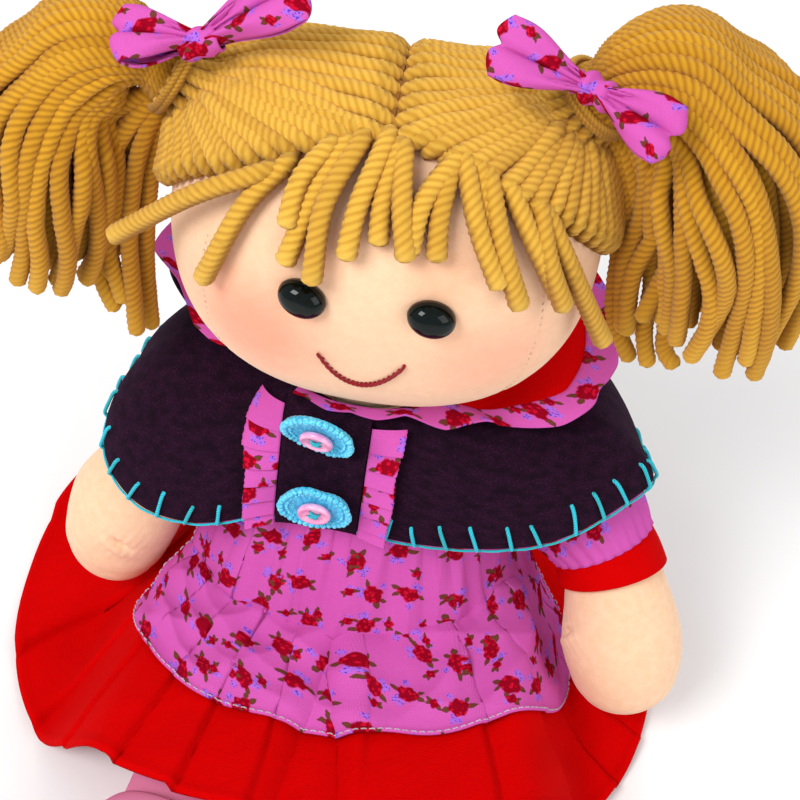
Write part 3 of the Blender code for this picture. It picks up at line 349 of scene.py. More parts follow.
def tube_rings(line, half_widths, half_depths, up_hint, count, tangents=None):
    """Rings across a line, each with its own half width, sideways of up_hint, and half depth."""
    turns = full_turn(count)
    tangents = tangents_of(line) if tangents is None else tangents
    rings = []
    for centre, tangent, wide, deep in zip(line, tangents, half_widths, half_depths):
        side, top = ring_frame(tangent, up_hint)
        rings.append(centre + np.cos(turns)[:, None] * side * wide + np.sin(turns)[:, None] * top * deep)
    return np.array(rings)


def join_pieces(name, parts):
    """One object from several, each with its own finish kept."""
    mesh = bpy.data.meshes.new(name)
    shape = bmesh.new()
    for part in parts:
        slot = len(mesh.materials)
        for paint in part.data.materials:
            mesh.materials.append(paint)
        start = len(shape.faces)
        shape.from_mesh(part.data)
        shape.faces.ensure_lookup_table()
        for face in shape.faces[start:]:
            face.material_index += slot
        bpy.data.objects.remove(part)
    shape.to_mesh(mesh)
    shape.free()
    return linked(name, mesh)


def set_out(made, body, paint, slot, *solids):
    """Gives a piece its finish and its body, and hides the solids that it stands for. The slot is not used.

    A piece whose body is None rides on no body.
    """
    if paint is not None:
        made.data.materials.clear()
        made.data.materials.append(paint)
    if body is not None:
        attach(made, body)
    if solids:
        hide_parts(*solids)
    piece_faces[made.name] = sum(len(f.vertices) - 2 for f in made.data.polygons)
    return made


cut_sizes = {}
least_cut = 10.2 * MM


def declare_cloth(made, grid, wrap=False):
    """Says how large a sheet was cut: its longest row, its longest column, and the area between them."""
    grid = closed_round(grid, wrap)
    width = float(travelled(grid, 1)[:, -1].max())
    drop = max(least_cut, float(travelled(grid)[-1].max()))
    a, b, c, d = grid[:-1, :-1], grid[1:, :-1], grid[:-1, 1:], grid[1:, 1:]
    twice = np.linalg.norm(np.cross(b - a, c - a), axis=2) + np.linalg.norm(np.cross(c - d, b - d), axis=2)
    area = min(float(twice.sum() / 2), width * drop)
    cut_sizes[made.name] = [round(width / MM), round(drop / MM), round(area / MM / MM / 100)]

# %% [markdown]
# ## A short way to write nodes
# A finish is a small network of nodes, and so is a tree that makes geometry. Written out in full each takes
# many lines, so this class keeps them short: each call adds one node, links or sets its inputs, and gives
# back its output. What is used more than once is a group with named inputs and outputs.


# %% The node writer
def linear(red, green, blue):
    """A colour as it looks on a screen, from 0 to 255, as the linear colour that a shader takes."""
    return tuple((c / 255 / 12.92) if c <= 10 else ((c / 255 + 0.055) / 1.055) ** 2.4
                 for c in (red, green, blue))


class Nodes:
    """Adds nodes to a tree with one call each."""

    def __init__(self, tree, family="ShaderNode"):
        self.tree, self.family = tree, family

    def put(self, socket, value):
        if isinstance(value, bpy.types.NodeSocket):
            self.tree.links.new(value, socket)
        else:
            socket.default_value = (*value[:3], 1) if socket.type == "RGBA" else value

    def node(self, kind, settings=None, *values, **inputs):
        """One node: values go into its first inputs in turn, and the others by their names."""
        made = self.tree.nodes.new(kind)
        for name, value in (settings or {}).items():
            setattr(made, name, value)
        for socket, value in zip(made.inputs, values):
            self.put(socket, value)
        for name, value in inputs.items():
            self.put(next(s for s in made.inputs if s.name == name.replace("_", " ") and s.enabled), value)
        return made

    def add(self, kind, output=0, settings=None, **inputs):
        return self.node(self.family + kind, settings, **inputs).outputs[output]

    def math(self, operation, first, second=0.0, third=0.0):
        return self.node("ShaderNodeMath", {"operation": operation}, first, second, third).outputs[0]

    def vector(self, operation, first, second=(0, 0, 0), scale=1.0, output=0):
        made = self.node("ShaderNodeVectorMath", {"operation": operation}, first, second)
        if operation == "SCALE":
            self.put(made.inputs[3], scale)
        return made.outputs[output]

    def split(self, vector):
        return self.node("ShaderNodeSeparateXYZ", None, vector).outputs

    def fade(self, value, low, high, start=0.0, end=1.0):
        """A smooth ramp: start where value is low, and end where it is high."""
        smooth = {"interpolation_type": "SMOOTHSTEP"}
        return self.node("ShaderNodeMapRange", smooth, value, low, high, start, end).outputs[0]

    def mix(self, share, first, second, blend="MIX"):
        """A mix of two colours."""
        made = self.node("ShaderNodeMix", {"data_type": "RGBA", "blend_type": blend}, share)
        self.put(made.inputs[6], first)
        self.put(made.inputs[7], second)
        return made.outputs[2]

    def noise(self, place, scale, detail=2.0, output=0, roughness=0.5):
        return self.add("TexNoise", output, Vector=place, Scale=scale, Detail=detail, Roughness=roughness)

    def group(self, tree, output, **inputs):
        """Places a shared group, and gives one or more of its outputs by name."""
        given = self.node("ShaderNodeGroup", {"node_tree": tree}, **inputs).outputs
        return given[output] if isinstance(output, str) else [given[name] for name in output]

    def stored(self, name, geometry, value, domain="POINT"):
        """Keeps a number on each point or curve of some geometry, under a name."""
        return self.add("StoreNamedAttribute", 0, {"data_type": "FLOAT", "domain": domain},
                        Geometry=geometry, Name=name, Value=value)

    def painted(self, geometry, finish):
        """Smooth, real geometry with its finish, ready to leave the tree."""
        real = self.add("RealizeInstances", Geometry=self.add("SetShadeSmooth", Geometry=geometry))
        return self.add("SetMaterial", Geometry=real, Material=finish)


def shared_group(name, inputs, outputs, family="ShaderNode"):
    """A new group with named sockets: gives its writer, its inputs and its output node."""
    tree = bpy.data.node_groups.new(name, family + "Tree")
    for word, kind, value in inputs:
        socket = tree.interface.new_socket(word, in_out="INPUT", socket_type="NodeSocket" + kind)
        if value is not None:
            socket.default_value = value
    for word, kind in outputs:
        tree.interface.new_socket(word, in_out="OUTPUT", socket_type="NodeSocket" + kind)
    given = tree.nodes.new("NodeGroupInput").outputs
    return Nodes(tree, family), given, tree.nodes.new("NodeGroupOutput").inputs


def finish(name, roughness, **settings):
    """A new material: gives it, its writer and its shader. The settings are plain numbers on the shader."""
    paint = bpy.data.materials.new(name)
    paint.use_nodes = True
    shader = paint.node_tree.nodes["Principled BSDF"]
    shader.inputs["Roughness"].default_value = roughness
    for word, value in settings.items():
        socket = shader.inputs[word.replace("_", " ")]
        socket.default_value = (*value, 1) if socket.type == "RGBA" else value
    return paint, Nodes(paint.node_tree), shader


# %% [markdown]
# ## Shared effects: weave, fuzz and a flower print
# Plain woven cotton is threads that pass over and under each other, about twenty to the centimetre. Two
# sine waves at right angles, one turned on where the other is low, give that basket look as a height. Fuzz
# is fine noise that breaks up colour and height on yarn, felt and jersey. Both are groups, because many
# finishes use them.

# %% The weave
weave, given, out = shared_group("cotton_weave", [("Place", "Vector", None), ("Thread", "Float", 0.5 * MM)],
                                 [("Height", "Float"), ("Tone", "Float")])
step = weave.vector("SCALE", given["Place"], scale=weave.math("DIVIDE", pi, given["Thread"]))
x, y, _ = weave.split(step)
over = weave.math("ABSOLUTE", weave.math("SINE", x))
under = weave.math("ABSOLUTE", weave.math("SINE", y))
check = weave.math("MULTIPLY", weave.math("SINE", weave.math("MULTIPLY", x, 0.5)),
                   weave.math("SINE", weave.math("MULTIPLY", y, 0.5)))
chosen = weave.fade(check, -0.15, 0.15)
height = weave.math("ADD", weave.math("MULTIPLY", over, chosen),
                    weave.math("MULTIPLY", under, weave.math("SUBTRACT", 1.0, chosen)))
weave.put(out["Height"], height)
slub = weave.noise(weave.vector("MULTIPLY", given["Place"], (260.0, 2600.0, 900.0)), 1.0, 2.0)
weave.put(out["Tone"], weave.math("ADD", weave.math("MULTIPLY", height, 0.5),
                                  weave.math("MULTIPLY", slub, 0.5)))
cotton_weave = weave.tree

# %% The fuzz
fuzz, given, out = shared_group("soft_fuzz", [("Place", "Vector", None), ("Size", "Float", 0.4 * MM)],
                                [("Height", "Float"), ("Tone", "Float")])
fine = fuzz.noise(given["Place"], fuzz.math("DIVIDE", 1.0, given["Size"]), 3.0)
broad = fuzz.noise(given["Place"], fuzz.math("DIVIDE", 0.12, given["Size"]), 2.0)
fuzz.put(out["Height"], fine)
fuzz.put(out["Tone"], fuzz.math("ADD", fuzz.math("MULTIPLY", fine, 0.5), fuzz.math("MULTIPLY", broad, 0.5)))
soft_fuzz = fuzz.tree

# %% [markdown]
# ## The flower print
# The dress is a small scattered print: dark red blooms with olive leaves, beside little lilac flowers, on
# an orchid pink ground. It isn't drawn from any maker's cloth. A Voronoi texture scatters one sprig to a
# cell, with its middle moved and turned at random. Inside the cell, distances from a few fixed places draw
# the petals and the leaves. The place is measured on the cloth's own flat map, in metres, so every piece
# has sprigs of one size.


# %% One sprig of the print
def blob(made, place, centre, size, petals=0.0, depth=0.0):
    """A soft-edged disc round a place, with petals in its rim: 1 inside and 0 outside."""
    from_centre = made.vector("SUBTRACT", place, (*centre, 0))
    away = made.vector("LENGTH", from_centre, output=1)
    x, y, _ = made.split(from_centre)
    turn = made.math("MULTIPLY", made.math("ARCTAN2", y, x), petals)
    rim = made.math("MULTIPLY_ADD", made.math("SINE", turn), depth, size)
    return made.fade(made.math("SUBTRACT", away, rim), -0.02, 0.02, 1.0, 0.0)


def turned(made, place, angle):
    return made.add("VectorRotate", settings={"rotation_type": "Z_AXIS"}, Vector=place, Angle=angle)


def leaf(made, place, centre, turn, length, width):
    """A pointed oval: the overlap of two discs, as a mask."""
    local = turned(made, made.vector("SUBTRACT", place, (*centre, 0)), -turn)
    x, y, _ = made.split(made.vector("DIVIDE", local, (length, width, 1.0)))
    return made.fade(made.math("ADD", made.math("MULTIPLY", x, x), made.math("ABSOLUTE", y)), 0.85, 1.1,
                     1.0, 0.0)


def most(made, masks):
    total = masks[0]
    for mask in masks[1:]:
        total = made.math("MAXIMUM", total, mask)
    return total


sprig_pitch = 14.5 * MM
ground_pink = linear(210, 92, 178)
bloom_red = linear(206, 16, 50)
bloom_dark = linear(146, 4, 30)
leaf_olive = linear(108, 62, 46)
petal_lilac = linear(172, 108, 222)
petal_blue = linear(92, 52, 176)

flowers, given, out = shared_group("scattered_print",
                                   [("Place", "Vector", None), ("Pitch", "Float", sprig_pitch)],
                                   [("Color", "Color")])
colour = flowers.mix(0.0, ground_pink, ground_pink)
for turn_seed, share, cell_shift, bloom_size in ((0.0, 1.0, 0.0, 0.24), (2.3, 0.38, 7.37, 0.13)):
    spread = flowers.vector("SCALE", given["Place"], scale=flowers.math("DIVIDE", 1.0, given["Pitch"]))
    spread = flowers.vector("ADD", flowers.vector("SCALE", spread, scale=1.0 if share == 1.0 else 1.3),
                            (cell_shift, cell_shift * 0.61, 0))
    cell = flowers.node("ShaderNodeTexVoronoi", {"voronoi_dimensions": "2D"}, Vector=spread, Scale=1.0,
                        Randomness=0.62).outputs
    chance = flowers.node("ShaderNodeSeparateColor", None, cell["Color"]).outputs
    angle = flowers.math("MULTIPLY_ADD", chance[0], 2 * pi, turn_seed)
    local = turned(flowers, flowers.vector("SUBTRACT", spread, cell["Position"]), angle)
    wobble = flowers.vector("SUBTRACT", flowers.noise(spread, 9.0, 2.0, output=1), (0.5, 0.5, 0.5))
    local = flowers.vector("ADD", local, flowers.vector("SCALE", wobble, scale=0.07))
    kept = flowers.math("GREATER_THAN", chance[1], 1.0 - share)
    leaves = [leaf(flowers, local, (bloom_size * 0.95, bloom_size * 0.75), 0.7, 0.12, 0.065),
              leaf(flowers, local, (bloom_size * 1.15, bloom_size * 0.1), -0.3, 0.105, 0.055),
              leaf(flowers, local, (-bloom_size * 0.95, -bloom_size * 0.65), 3.9, 0.12, 0.06)]
    if share == 1.0:
        lilac = [blob(flowers, local, place, 0.072, 5.0, 0.018)
                 for place in ((-0.20, 0.19), (-0.30, 0.09), (-0.19, 0.05), (0.06, -0.30))]
        bloom = [blob(flowers, local, (0, 0), bloom_size * 0.8, 5.0, 0.018),
                 blob(flowers, local, (0.11, 0.06), bloom_size * 0.52, 4.0, 0.014),
                 blob(flowers, local, (-0.09, -0.09), bloom_size * 0.45, 4.0, 0.012)]
    else:
        lilac = [blob(flowers, local, place, 0.04, 5.0, 0.01) for place in ((-0.13, 0.12), (-0.19, 0.05))]
        bloom = [blob(flowers, local, (0, 0), bloom_size, 4.0, 0.014)]
    dots = flowers.add("TexVoronoi", Vector=spread, Scale=22.0)
    lilac_tone = flowers.mix(flowers.fade(dots, 0.28, 0.42), petal_blue, petal_lilac)
    petals = flowers.add("TexVoronoi", Vector=spread, Scale=11.0)
    bloom_tone = flowers.mix(flowers.fade(petals, 0.25, 0.5), bloom_red, bloom_dark)
    for masks, tone in ((leaves, leaf_olive), (lilac, lilac_tone), (bloom, bloom_tone)):
        colour = flowers.mix(flowers.math("MULTIPLY", most(flowers, masks), kept), colour, tone)
flowers.put(out["Color"], colour)
scattered_print = flowers.tree

# %% [markdown]
# ## The finishes
# Each finish puts the shared effects together. Cotton is matt with a faint weave and slubs, felt is very matt
# with hairs of two colours, jersey skin is smooth with a soft blush on each cheek and a painted shadow under
# the fringe, yarn has painted shade in its grooves and on the sides of its strands and is light on its plies,
# and satin has a soft sheen. The flat map of a cloth piece gives the place on the cloth, and Object
# coordinates give it on stuffed pieces.


# %% Cotton, felt and satin
def flat_place(made):
    return made.add("UVMap", settings={"uv_map": "flat_map"})


def object_place(made):
    return made.add("TexCoord", 3)


def bump(made, shader, height, distance, strength=1.0):
    made.put(shader.inputs["Normal"], made.add("Bump", Height=height, Distance=distance, Strength=strength))


def cotton_finish(name, tone, shade, thread=0.5 * MM, printed=False, roughness=0.95):
    paint, made, shader = finish(name, roughness, Specular_IOR_Level=0.04)
    place = flat_place(made)
    height, slub = made.group(cotton_weave, ("Height", "Tone"), Place=place, Thread=thread)
    cloth_tone = made.group(scattered_print, "Color", Place=place) if printed else tone
    broad = made.noise(place, 38.0, 3.0)
    shaded = made.mix(1.0, cloth_tone, shade, "MULTIPLY")
    worn = made.math("MULTIPLY", made.fade(slub, 0.62, 0.3), made.fade(broad, 0.75, 0.25, 0.35, 1.0))
    made.put(shader.inputs["Base Color"], made.mix(worn, cloth_tone, shaded))
    creases = made.noise(made.vector("MULTIPLY", place, (1.0, 0.45, 1.0)), 95.0, 3.0)
    bump(made, shader, made.math("ADD", made.math("MULTIPLY", height, 0.12), creases), 0.9 * MM, 0.55)
    return paint


printed_cotton = cotton_finish("printed_cotton", ground_pink, (0.80, 0.66, 0.80), printed=True)
red_cotton = cotton_finish("red_cotton", linear(208, 0, 1), (0.60, 0.5, 0.5))
# The hood lining is the same red cotton as the skirt, painted lighter to offset the shade inside the hood.
lining_red_painted_lighter = cotton_finish("lining_red_painted_lighter", linear(226, 1, 5), (0.72, 0.5, 0.5))
pink_cotton = cotton_finish("pink_cotton", linear(228, 138, 174), (0.86, 0.75, 0.8))


# %% Felt
def felt_finish(name, tone, fleck):
    paint, made, shader = finish(name, 0.95, Sheen_Weight=0.06, Sheen_Roughness=0.7,
                                 Sheen_Tint=linear(150, 90, 150),
                                 Specular_IOR_Level=0.06)
    place = flat_place(made)
    height, shade = made.group(soft_fuzz, ("Height", "Tone"), Place=place, Size=0.45 * MM)
    hair = made.noise(made.vector("MULTIPLY", place, (1.0, 3.0, 1.0)), 900.0, 3.0)
    colour = made.mix(made.fade(hair, 0.52, 0.68), tone, fleck)
    made.put(shader.inputs["Base Color"], made.mix(made.fade(shade, 0.62, 0.36), colour, linear(18, 7, 18)))
    bump(made, shader, made.math("ADD", height, made.math("MULTIPLY", hair, 0.8)), 0.35 * MM, 0.8)
    return paint


dark_felt = felt_finish("dark_felt", linear(34, 13, 31), linear(62, 25, 50))

# %% Satin, eyes and buttons
def speckled(name, roughness, dark, light, scale, detail=2.0, edge=0.3, stretch=None, **settings):
    """A finish of two tones in fine spots: gives it, its writer, its shader and the spots."""
    paint, made, shader = finish(name, roughness, **settings)
    place = object_place(made)
    spots = made.noise(made.vector("MULTIPLY", place, stretch) if stretch else place, scale, detail)
    share = made.fade(spots, edge, 1 - edge) if edge else spots
    made.put(shader.inputs["Base Color"], made.mix(share, linear(*dark), linear(*light)))
    return paint, made, shader, spots


satin, made, shader, spots = speckled("turquoise_satin", 0.36, (14, 164, 216), (60, 208, 244), 420.0,
                                      edge=0.35,
                                      stretch=(3.0, 1.0, 1.0), Sheen_Weight=0.3, Specular_IOR_Level=0.5)
bump(made, shader, spots, 0.25 * MM, 0.6)
satin_beads, made, shader, spots = speckled("turquoise_beads", 0.42, (40, 180, 225), (120, 226, 250), 1500.0,
                                            Sheen_Weight=0.2, Specular_IOR_Level=0.45)
bump(made, shader, spots, 0.15 * MM, 0.6)
eye_gloss, made, shader, spots = speckled("eye_gloss", 0.06, (1, 5, 4), (3, 16, 14), 210.0,
                                          Specular_IOR_Level=0.22)
made.put(shader.inputs["Roughness"], made.fade(spots, 0.2, 0.9, 0.04, 0.10))
eye_rim = speckled("eye_rim", 0.35, (30, 18, 12), (64, 42, 28), 900.0, edge=None, Specular_IOR_Level=0.5)[0]
button_gloss, made, shader, spots = speckled("button_gloss", 0.22, (238, 150, 196), (250, 184, 218), 260.0,
                                             3.0,
                                             edge=0.35, Specular_IOR_Level=0.5, Coat_Weight=0.3)
made.put(shader.inputs["Roughness"], made.fade(made.noise(object_place(made), 1400.0), 0.3, 0.7, 0.18, 0.32))


# %% Stuffed jersey, the blush and the painted shadow
def skin_finish(name, blush_and_shadow_spots, deep=(240, 196, 158), light=(247, 206, 170)):
    """Peach jersey, with a soft tint round each named place: a blush, or a painted shadow."""
    paint, made, shader = finish(name, 0.78, Sheen_Weight=0.18, Sheen_Roughness=0.45, Specular_IOR_Level=0.2,
                                 Subsurface_Weight=0.06, Subsurface_Scale=4 * MM)
    place = object_place(made)
    height, shade = made.group(soft_fuzz, ("Height", "Tone"), Place=place, Size=0.35 * MM)
    knit = made.noise(made.vector("MULTIPLY", place, (1.0, 1.0, 0.25)), 2600.0, 1.0)
    colour = made.mix(made.fade(shade, 0.35, 0.65), linear(*deep), linear(*light))
    for centre, radius, tone, share in blush_and_shadow_spots:
        near = made.vector("DISTANCE", place, centre, output=1)
        broken = made.math("MULTIPLY_ADD", made.noise(place, 190.0, 3.0), 5 * MM,
                           made.math("SUBTRACT", near, 2.5 * MM))
        colour = made.mix(made.fade(broken, radius, radius * 0.15, 0.0, share), colour, tone)
    made.put(shader.inputs["Base Color"], colour)
    bump(made, shader, made.math("ADD", made.math("MULTIPLY", height, 0.5), knit), 0.16 * MM, 0.5)
    return paint


skin = skin_finish("peach_jersey", [])


# %% Yarn and thread
def yarn_finish(name, groove_shade_tone, ply_tone, tip_tone, roughness=0.95, sheen=0.12, fibre=0.22 * MM,
                flank_shade=0.0):
    """Plies with painted shade in their grooves and on their sides, with fibres along them and one tone for
    each strand.
    """
    paint, made, shader = finish(name, roughness, Sheen_Weight=sheen, Sheen_Roughness=0.6,
                                 Specular_IOR_Level=0.1)
    groove, strand, tip, facing = (made.add("Attribute", 2, {"attribute_name": word})
                                   for word in ("groove", "strand_tone", "along", "facing"))
    height, shade = made.group(soft_fuzz, ("Height", "Tone"), Place=object_place(made), Size=fibre)
    # Painted shade: the grooves between the plies take the darker groove tone, and the plies their own tone.
    colour = made.mix(made.fade(made.math("MULTIPLY_ADD", shade, 0.5, groove), 0.30, 1.05), groove_shade_tone,
                      ply_tone)
    colour = made.mix(made.fade(tip, 0.82, 1.0, 0.0, 0.6), colour, tip_tone)
    # Painted shade: where a strand does not face away from the middle, on its sides and underside, it turns
    # darker.
    under = made.mix(1.0, colour, (0.50, 0.38, 0.22), "MULTIPLY")
    colour = made.mix(made.fade(facing, 0.0, 0.85, flank_shade, 0.0), colour, under)
    darker = made.mix(1.0, colour, (0.74, 0.66, 0.52), "MULTIPLY")
    made.put(shader.inputs["Base Color"], made.mix(made.math("MULTIPLY", strand, 0.55), colour, darker))
    bump(made, shader, height, 0.30 * MM, 0.9)
    return paint


def thread_finish(name, dark, light, roughness):
    # dark is painted shade in the thread's grooves, and light is the thread's own tone.
    return yarn_finish(name, linear(*dark), linear(*light), linear(*light), roughness=roughness,
                       fibre=0.1 * MM)


gold_yarn = yarn_finish("gold_yarn", linear(212, 156, 50), linear(235, 185, 71), linear(245, 201, 91),
                        flank_shade=0.85)
# The pigtails are the same yarn as the wig. This darker, more orange copy of it is painted shade in the
# hanging bundles.
pigtail_yarn_painted_shade = yarn_finish("pigtail_yarn_painted_shade", linear(188, 128, 20), linear(220, 162, 36), linear(236, 184, 60),
                         flank_shade=0.35)
# The cap under the wig: a darker copy of the gold yarn, painted shade between the strands.
wig_ground_painted_shade = yarn_finish("wig_ground_painted_shade", linear(150, 98, 24), linear(190, 136, 46), linear(190, 136, 46))
turquoise_thread = thread_finish("turquoise_thread", (14, 184, 212), (50, 232, 255), 0.5)
smile_thread = thread_finish("smile_thread", (120, 4, 18), (178, 10, 32), 0.55)
white_thread = thread_finish("white_thread", (196, 170, 206), (246, 238, 250), 0.6)
skin_thread = thread_finish("skin_thread", (232, 188, 152), (248, 210, 176), 0.6)
print("finishes", len(bpy.data.materials))

# %% [markdown]
# ## Plied yarn and thread
# The wig is thick acrylic yarn: four soft plies twisted together, so each strand looks like a small rope.
# The same shape, much finer, is the sewing thread of the smile and of the blanket stitch. A Geometry Nodes
# tree makes it from any set of curves: it cuts each curve into even steps, turns it about itself as it
# goes, and sweeps a four-lobed ring along it. The mesh edges then follow the grooves, so few faces are
# enough. The tree also stores how deep each point lies in its groove, how far along the strand it is, how
# much it faces away from a given middle, and one number for each strand, and the finishes read those.


# %% The yarn tree
yarn, given, out = shared_group("plied_yarn_on_curves", [
    ("Curves", "Geometry", None), ("Width", "Float", 5 * MM), ("Lay", "Float", 6.4 * MM),
    ("Step", "Float", 0.7 * MM),
    ("Groove", "Float", 0.24), ("Plies", "Int", 4), ("Middle", "Vector", None), ("Finish", "Material", None),
], [("Mesh", "Geometry")], "GeometryNode")
even = yarn.add("ResampleCurve", 0, {"mode": "LENGTH"}, Curve=given["Curves"], Length=given["Step"])
along = yarn.node("GeometryNodeSplineParameter").outputs
tilt = yarn.math("MULTIPLY", yarn.math("DIVIDE", along["Length"], given["Lay"]), 2 * pi)
kept = yarn.stored("along", yarn.add("SetCurveTilt", Curve=even, Tilt=tilt), along["Factor"])
index = yarn.add("InputIndex")
chance = yarn.node("FunctionNodeRandomValue", {"data_type": "FLOAT"}, ID=index, Seed=7).outputs[1]
toned = yarn.stored("strand_tone", kept, chance, "CURVE")
ring = yarn.add("CurvePrimitiveCircle", 0, {"mode": "RADIUS"},
                Resolution=yarn.math("MULTIPLY", given["Plies"], 2.0),
                Radius=yarn.math("MULTIPLY", given["Width"], 0.5))
peak = yarn.math("MODULO", index, 2.0)
hollow = yarn.math("SUBTRACT", 1.0, peak)
shrink = yarn.math("SUBTRACT", 1.0, yarn.math("MULTIPLY", given["Groove"], hollow))
place = yarn.add("InputPosition")
profile = yarn.add("SetPosition", Geometry=yarn.stored("groove", ring, peak),
                   Position=yarn.vector("SCALE", place, scale=shrink))
swept = yarn.add("CurveToMesh", Curve=toned, Profile_Curve=profile, Scale=yarn.add("InputRadius"),
                 Fill_Caps=True)
outward = yarn.vector("NORMALIZE", yarn.vector("SUBTRACT", place, given["Middle"]))
facing = yarn.vector("DOT_PRODUCT", yarn.add("InputNormal"), outward, output=1)
yarn.put(out["Mesh"], yarn.painted(yarn.stored("facing", swept, facing), given["Finish"]))


# %% Strands from lines of points
def evaluated(carrier, name):
    """The carrier's shape with its modifiers applied, as a new plain object."""
    bpy.context.view_layer.update()
    graph = bpy.context.evaluated_depsgraph_get()
    mesh = bpy.data.meshes.new_from_object(carrier.evaluated_get(graph), depsgraph=graph)
    mesh.name = name
    bpy.data.objects.remove(carrier)
    return linked(name, mesh)


def grown(name, lines, tree, cyclic=False, **given):
    """What a tree makes of curves through lines of points, each with its share of the full width."""
    curve = bpy.data.curves.new(name + "_lines", "CURVE")
    curve.dimensions = "3D"
    curve.twist_mode = "MINIMUM"
    for points, shares in lines:
        spline = curve.splines.new("POLY")
        spline.points.add(len(points) - 1)
        spline.points.foreach_set("co", np.concatenate([points, np.ones((len(points), 1))], axis=1).ravel())
        spline.points.foreach_set("radius", np.asarray(shares, float))
        spline.use_cyclic_u = cyclic
    carrier = linked(name + "_lines", curve)
    step_up = carrier.modifiers.new("grown", "NODES")
    step_up.node_group = tree
    for item in tree.interface.items_tree:
        if item.in_out == "INPUT" and item.name in given:
            step_up[item.identifier] = given[item.name]
    made = evaluated(carrier, name)
    bpy.data.curves.remove(curve)
    return made


def strands(name, lines, paint, width, lay, step, plies=4, groove=0.24, middle=(0, 0, -10)):
    """A mesh of plied strands: each line is its points and the share of the full width at each."""
    made = grown(name, lines, yarn.tree, Width=width, Lay=lay, Step=step, Groove=groove, Plies=plies,
                 Middle=[float(c) for c in middle], Finish=paint)
    if volume_of(made.data) < 0:
        made.data.flip_normals()
    return made


def volume_of(mesh):
    mesh.calc_loop_triangles()
    corners = np.empty(len(mesh.vertices) * 3)
    mesh.vertices.foreach_get("co", corners)
    triangles = np.empty(len(mesh.loop_triangles) * 3, int)
    mesh.loop_triangles.foreach_get("vertices", triangles)
    a, b, c = corners.reshape(-1, 3)[triangles.reshape(-1, 3)].transpose(1, 0, 2)
    return float(np.einsum("ij,ij->i", a, np.cross(b, c)).sum() / 6)


def cut_end(points, tip, root=0.0):
    """Adds close points near the ends of a line, and the share of the width there: a cut end is rounded."""
    points = np.asarray(points, float)
    gone = travelled(points)
    whole = gone[-1]
    inside = gone[(gone > root * 1.2) & (gone < whole - tip * 1.2)]
    places = [0.0] + ([root * 0.35, root] if root else []) + [*inside, whole - tip, whole - tip * 0.4, whole]
    shares = [0.55 if root else 1.0] + ([0.85, 1.0] if root else []) + [1.0] * len(inside) + [1.0, 0.88, 0.5]
    line = np.stack([np.interp(places, gone, points[:, k]) for k in range(3)], axis=1)
    return line, shares


print("yarn inputs", list(given.keys()))

# %% [markdown]
# ## The surfaces that everything lies on
# The head is a rounded box that is flatter behind than in front, pitched and turned a little. Two angles
# and a height above the skin give a place on it, so the face, the wig and the fringe can all be laid on it.
# The body is a tapered barrel. The same sizes are used in the solids.

# %% The head and the body as surfaces
head_width, head_front_depth, head_back_depth, head_height = 120 * MM, 50 * MM, 28 * MM, 102 * MM
head_squareness = 2.4
head_pitch, head_turn = radians(7), radians(-1.5)
torso_width, torso_depth, torso_height = 86 * MM, 70 * MM, 118 * MM
head_centre = np.array([0, 0, torso_height + 56 * MM])
belly_forward = 2 * MM
torso_squareness = 2.3
torso_shares = (
    (0.00, 0.80, 0.78), (0.05, 0.93, 0.90), (0.15, 1.00, 1.00), (0.35, 1.00, 1.02), (0.60, 0.93, 1.00),
    (0.78, 0.90, 0.95), (0.88, 0.86, 0.88), (0.95, 0.72, 0.74), (1.00, 0.575, 0.615),
)
tilt_matrix = (np.array([[cos(head_turn), -sin(head_turn), 0], [sin(head_turn), cos(head_turn), 0],
                         [0, 0, 1]])
               @ np.array([[1, 0, 0], [0, cos(head_pitch), -sin(head_pitch)],
                           [0, sin(head_pitch), cos(head_pitch)]]))


def on_head(ray, lift):
    """The place where a ray from the head's middle leaves the skin, lifted off it."""
    ray, lift = np.asarray(ray, float), np.asarray(lift, float)
    deep = np.where(ray[..., 1] > 0, head_back_depth, head_front_depth)
    halves = np.stack([np.full(deep.shape, head_width / 2), deep, np.full(deep.shape, head_height / 2)],
                      axis=-1)
    reach = (np.abs(ray / halves) ** head_squareness).sum(-1) ** (-1 / head_squareness)
    skin_place = ray * reach[..., None]
    normal = np.sign(ray) * np.abs(skin_place / halves) ** (head_squareness - 1) / halves
    normal = normal / np.linalg.norm(normal, axis=-1, keepdims=True)
    return (skin_place + normal * lift[..., None]) @ tilt_matrix.T + head_centre


def head_ray(turn, rise):
    turn, rise = np.broadcast_arrays(np.radians(turn), np.radians(rise))
    return np.stack([np.cos(rise) * np.sin(turn), -np.cos(rise) * np.cos(turn), np.sin(rise)], axis=-1)


def head_place(turn, rise, lift):
    """Turn in degrees from the middle of the face to its left, rise in degrees, and lift off the skin."""
    ray = head_ray(turn, rise)
    return on_head(ray, np.broadcast_to(lift, ray.shape[:-1]))


def head_normal(turn, rise):
    return unit(head_place(turn, rise, MM) - head_place(turn, rise, 0.0))


def torso_ring(height, spread, count=72):
    turns = full_turn(count)
    share = height / torso_height
    table = np.array(torso_shares)
    half_x = torso_width / 2 * np.interp(share, table[:, 0], table[:, 1]) + spread
    half_y = torso_depth / 2 * np.interp(share, table[:, 0], table[:, 2]) + spread
    reach = egg_radius(turns, half_x, half_y, torso_squareness)
    return np.stack([reach * np.cos(turns), reach * np.sin(turns) - belly_forward, np.full(count, height)],
                    axis=1)


# %% [markdown]
# ## The stuffed body, the neck and the head
# A rag doll is sewn from flat cloth and filled, so its surfaces are full and smooth, with seams pulled a
# little in. The head's cover has a seam down each side of the face. A fine mesh of the surface is enough:
# the seam is a shallow groove in it, and the pull of each eye's washer is a shallow dent. Simulating the
# stuffing would not show, because the cloth is tight.

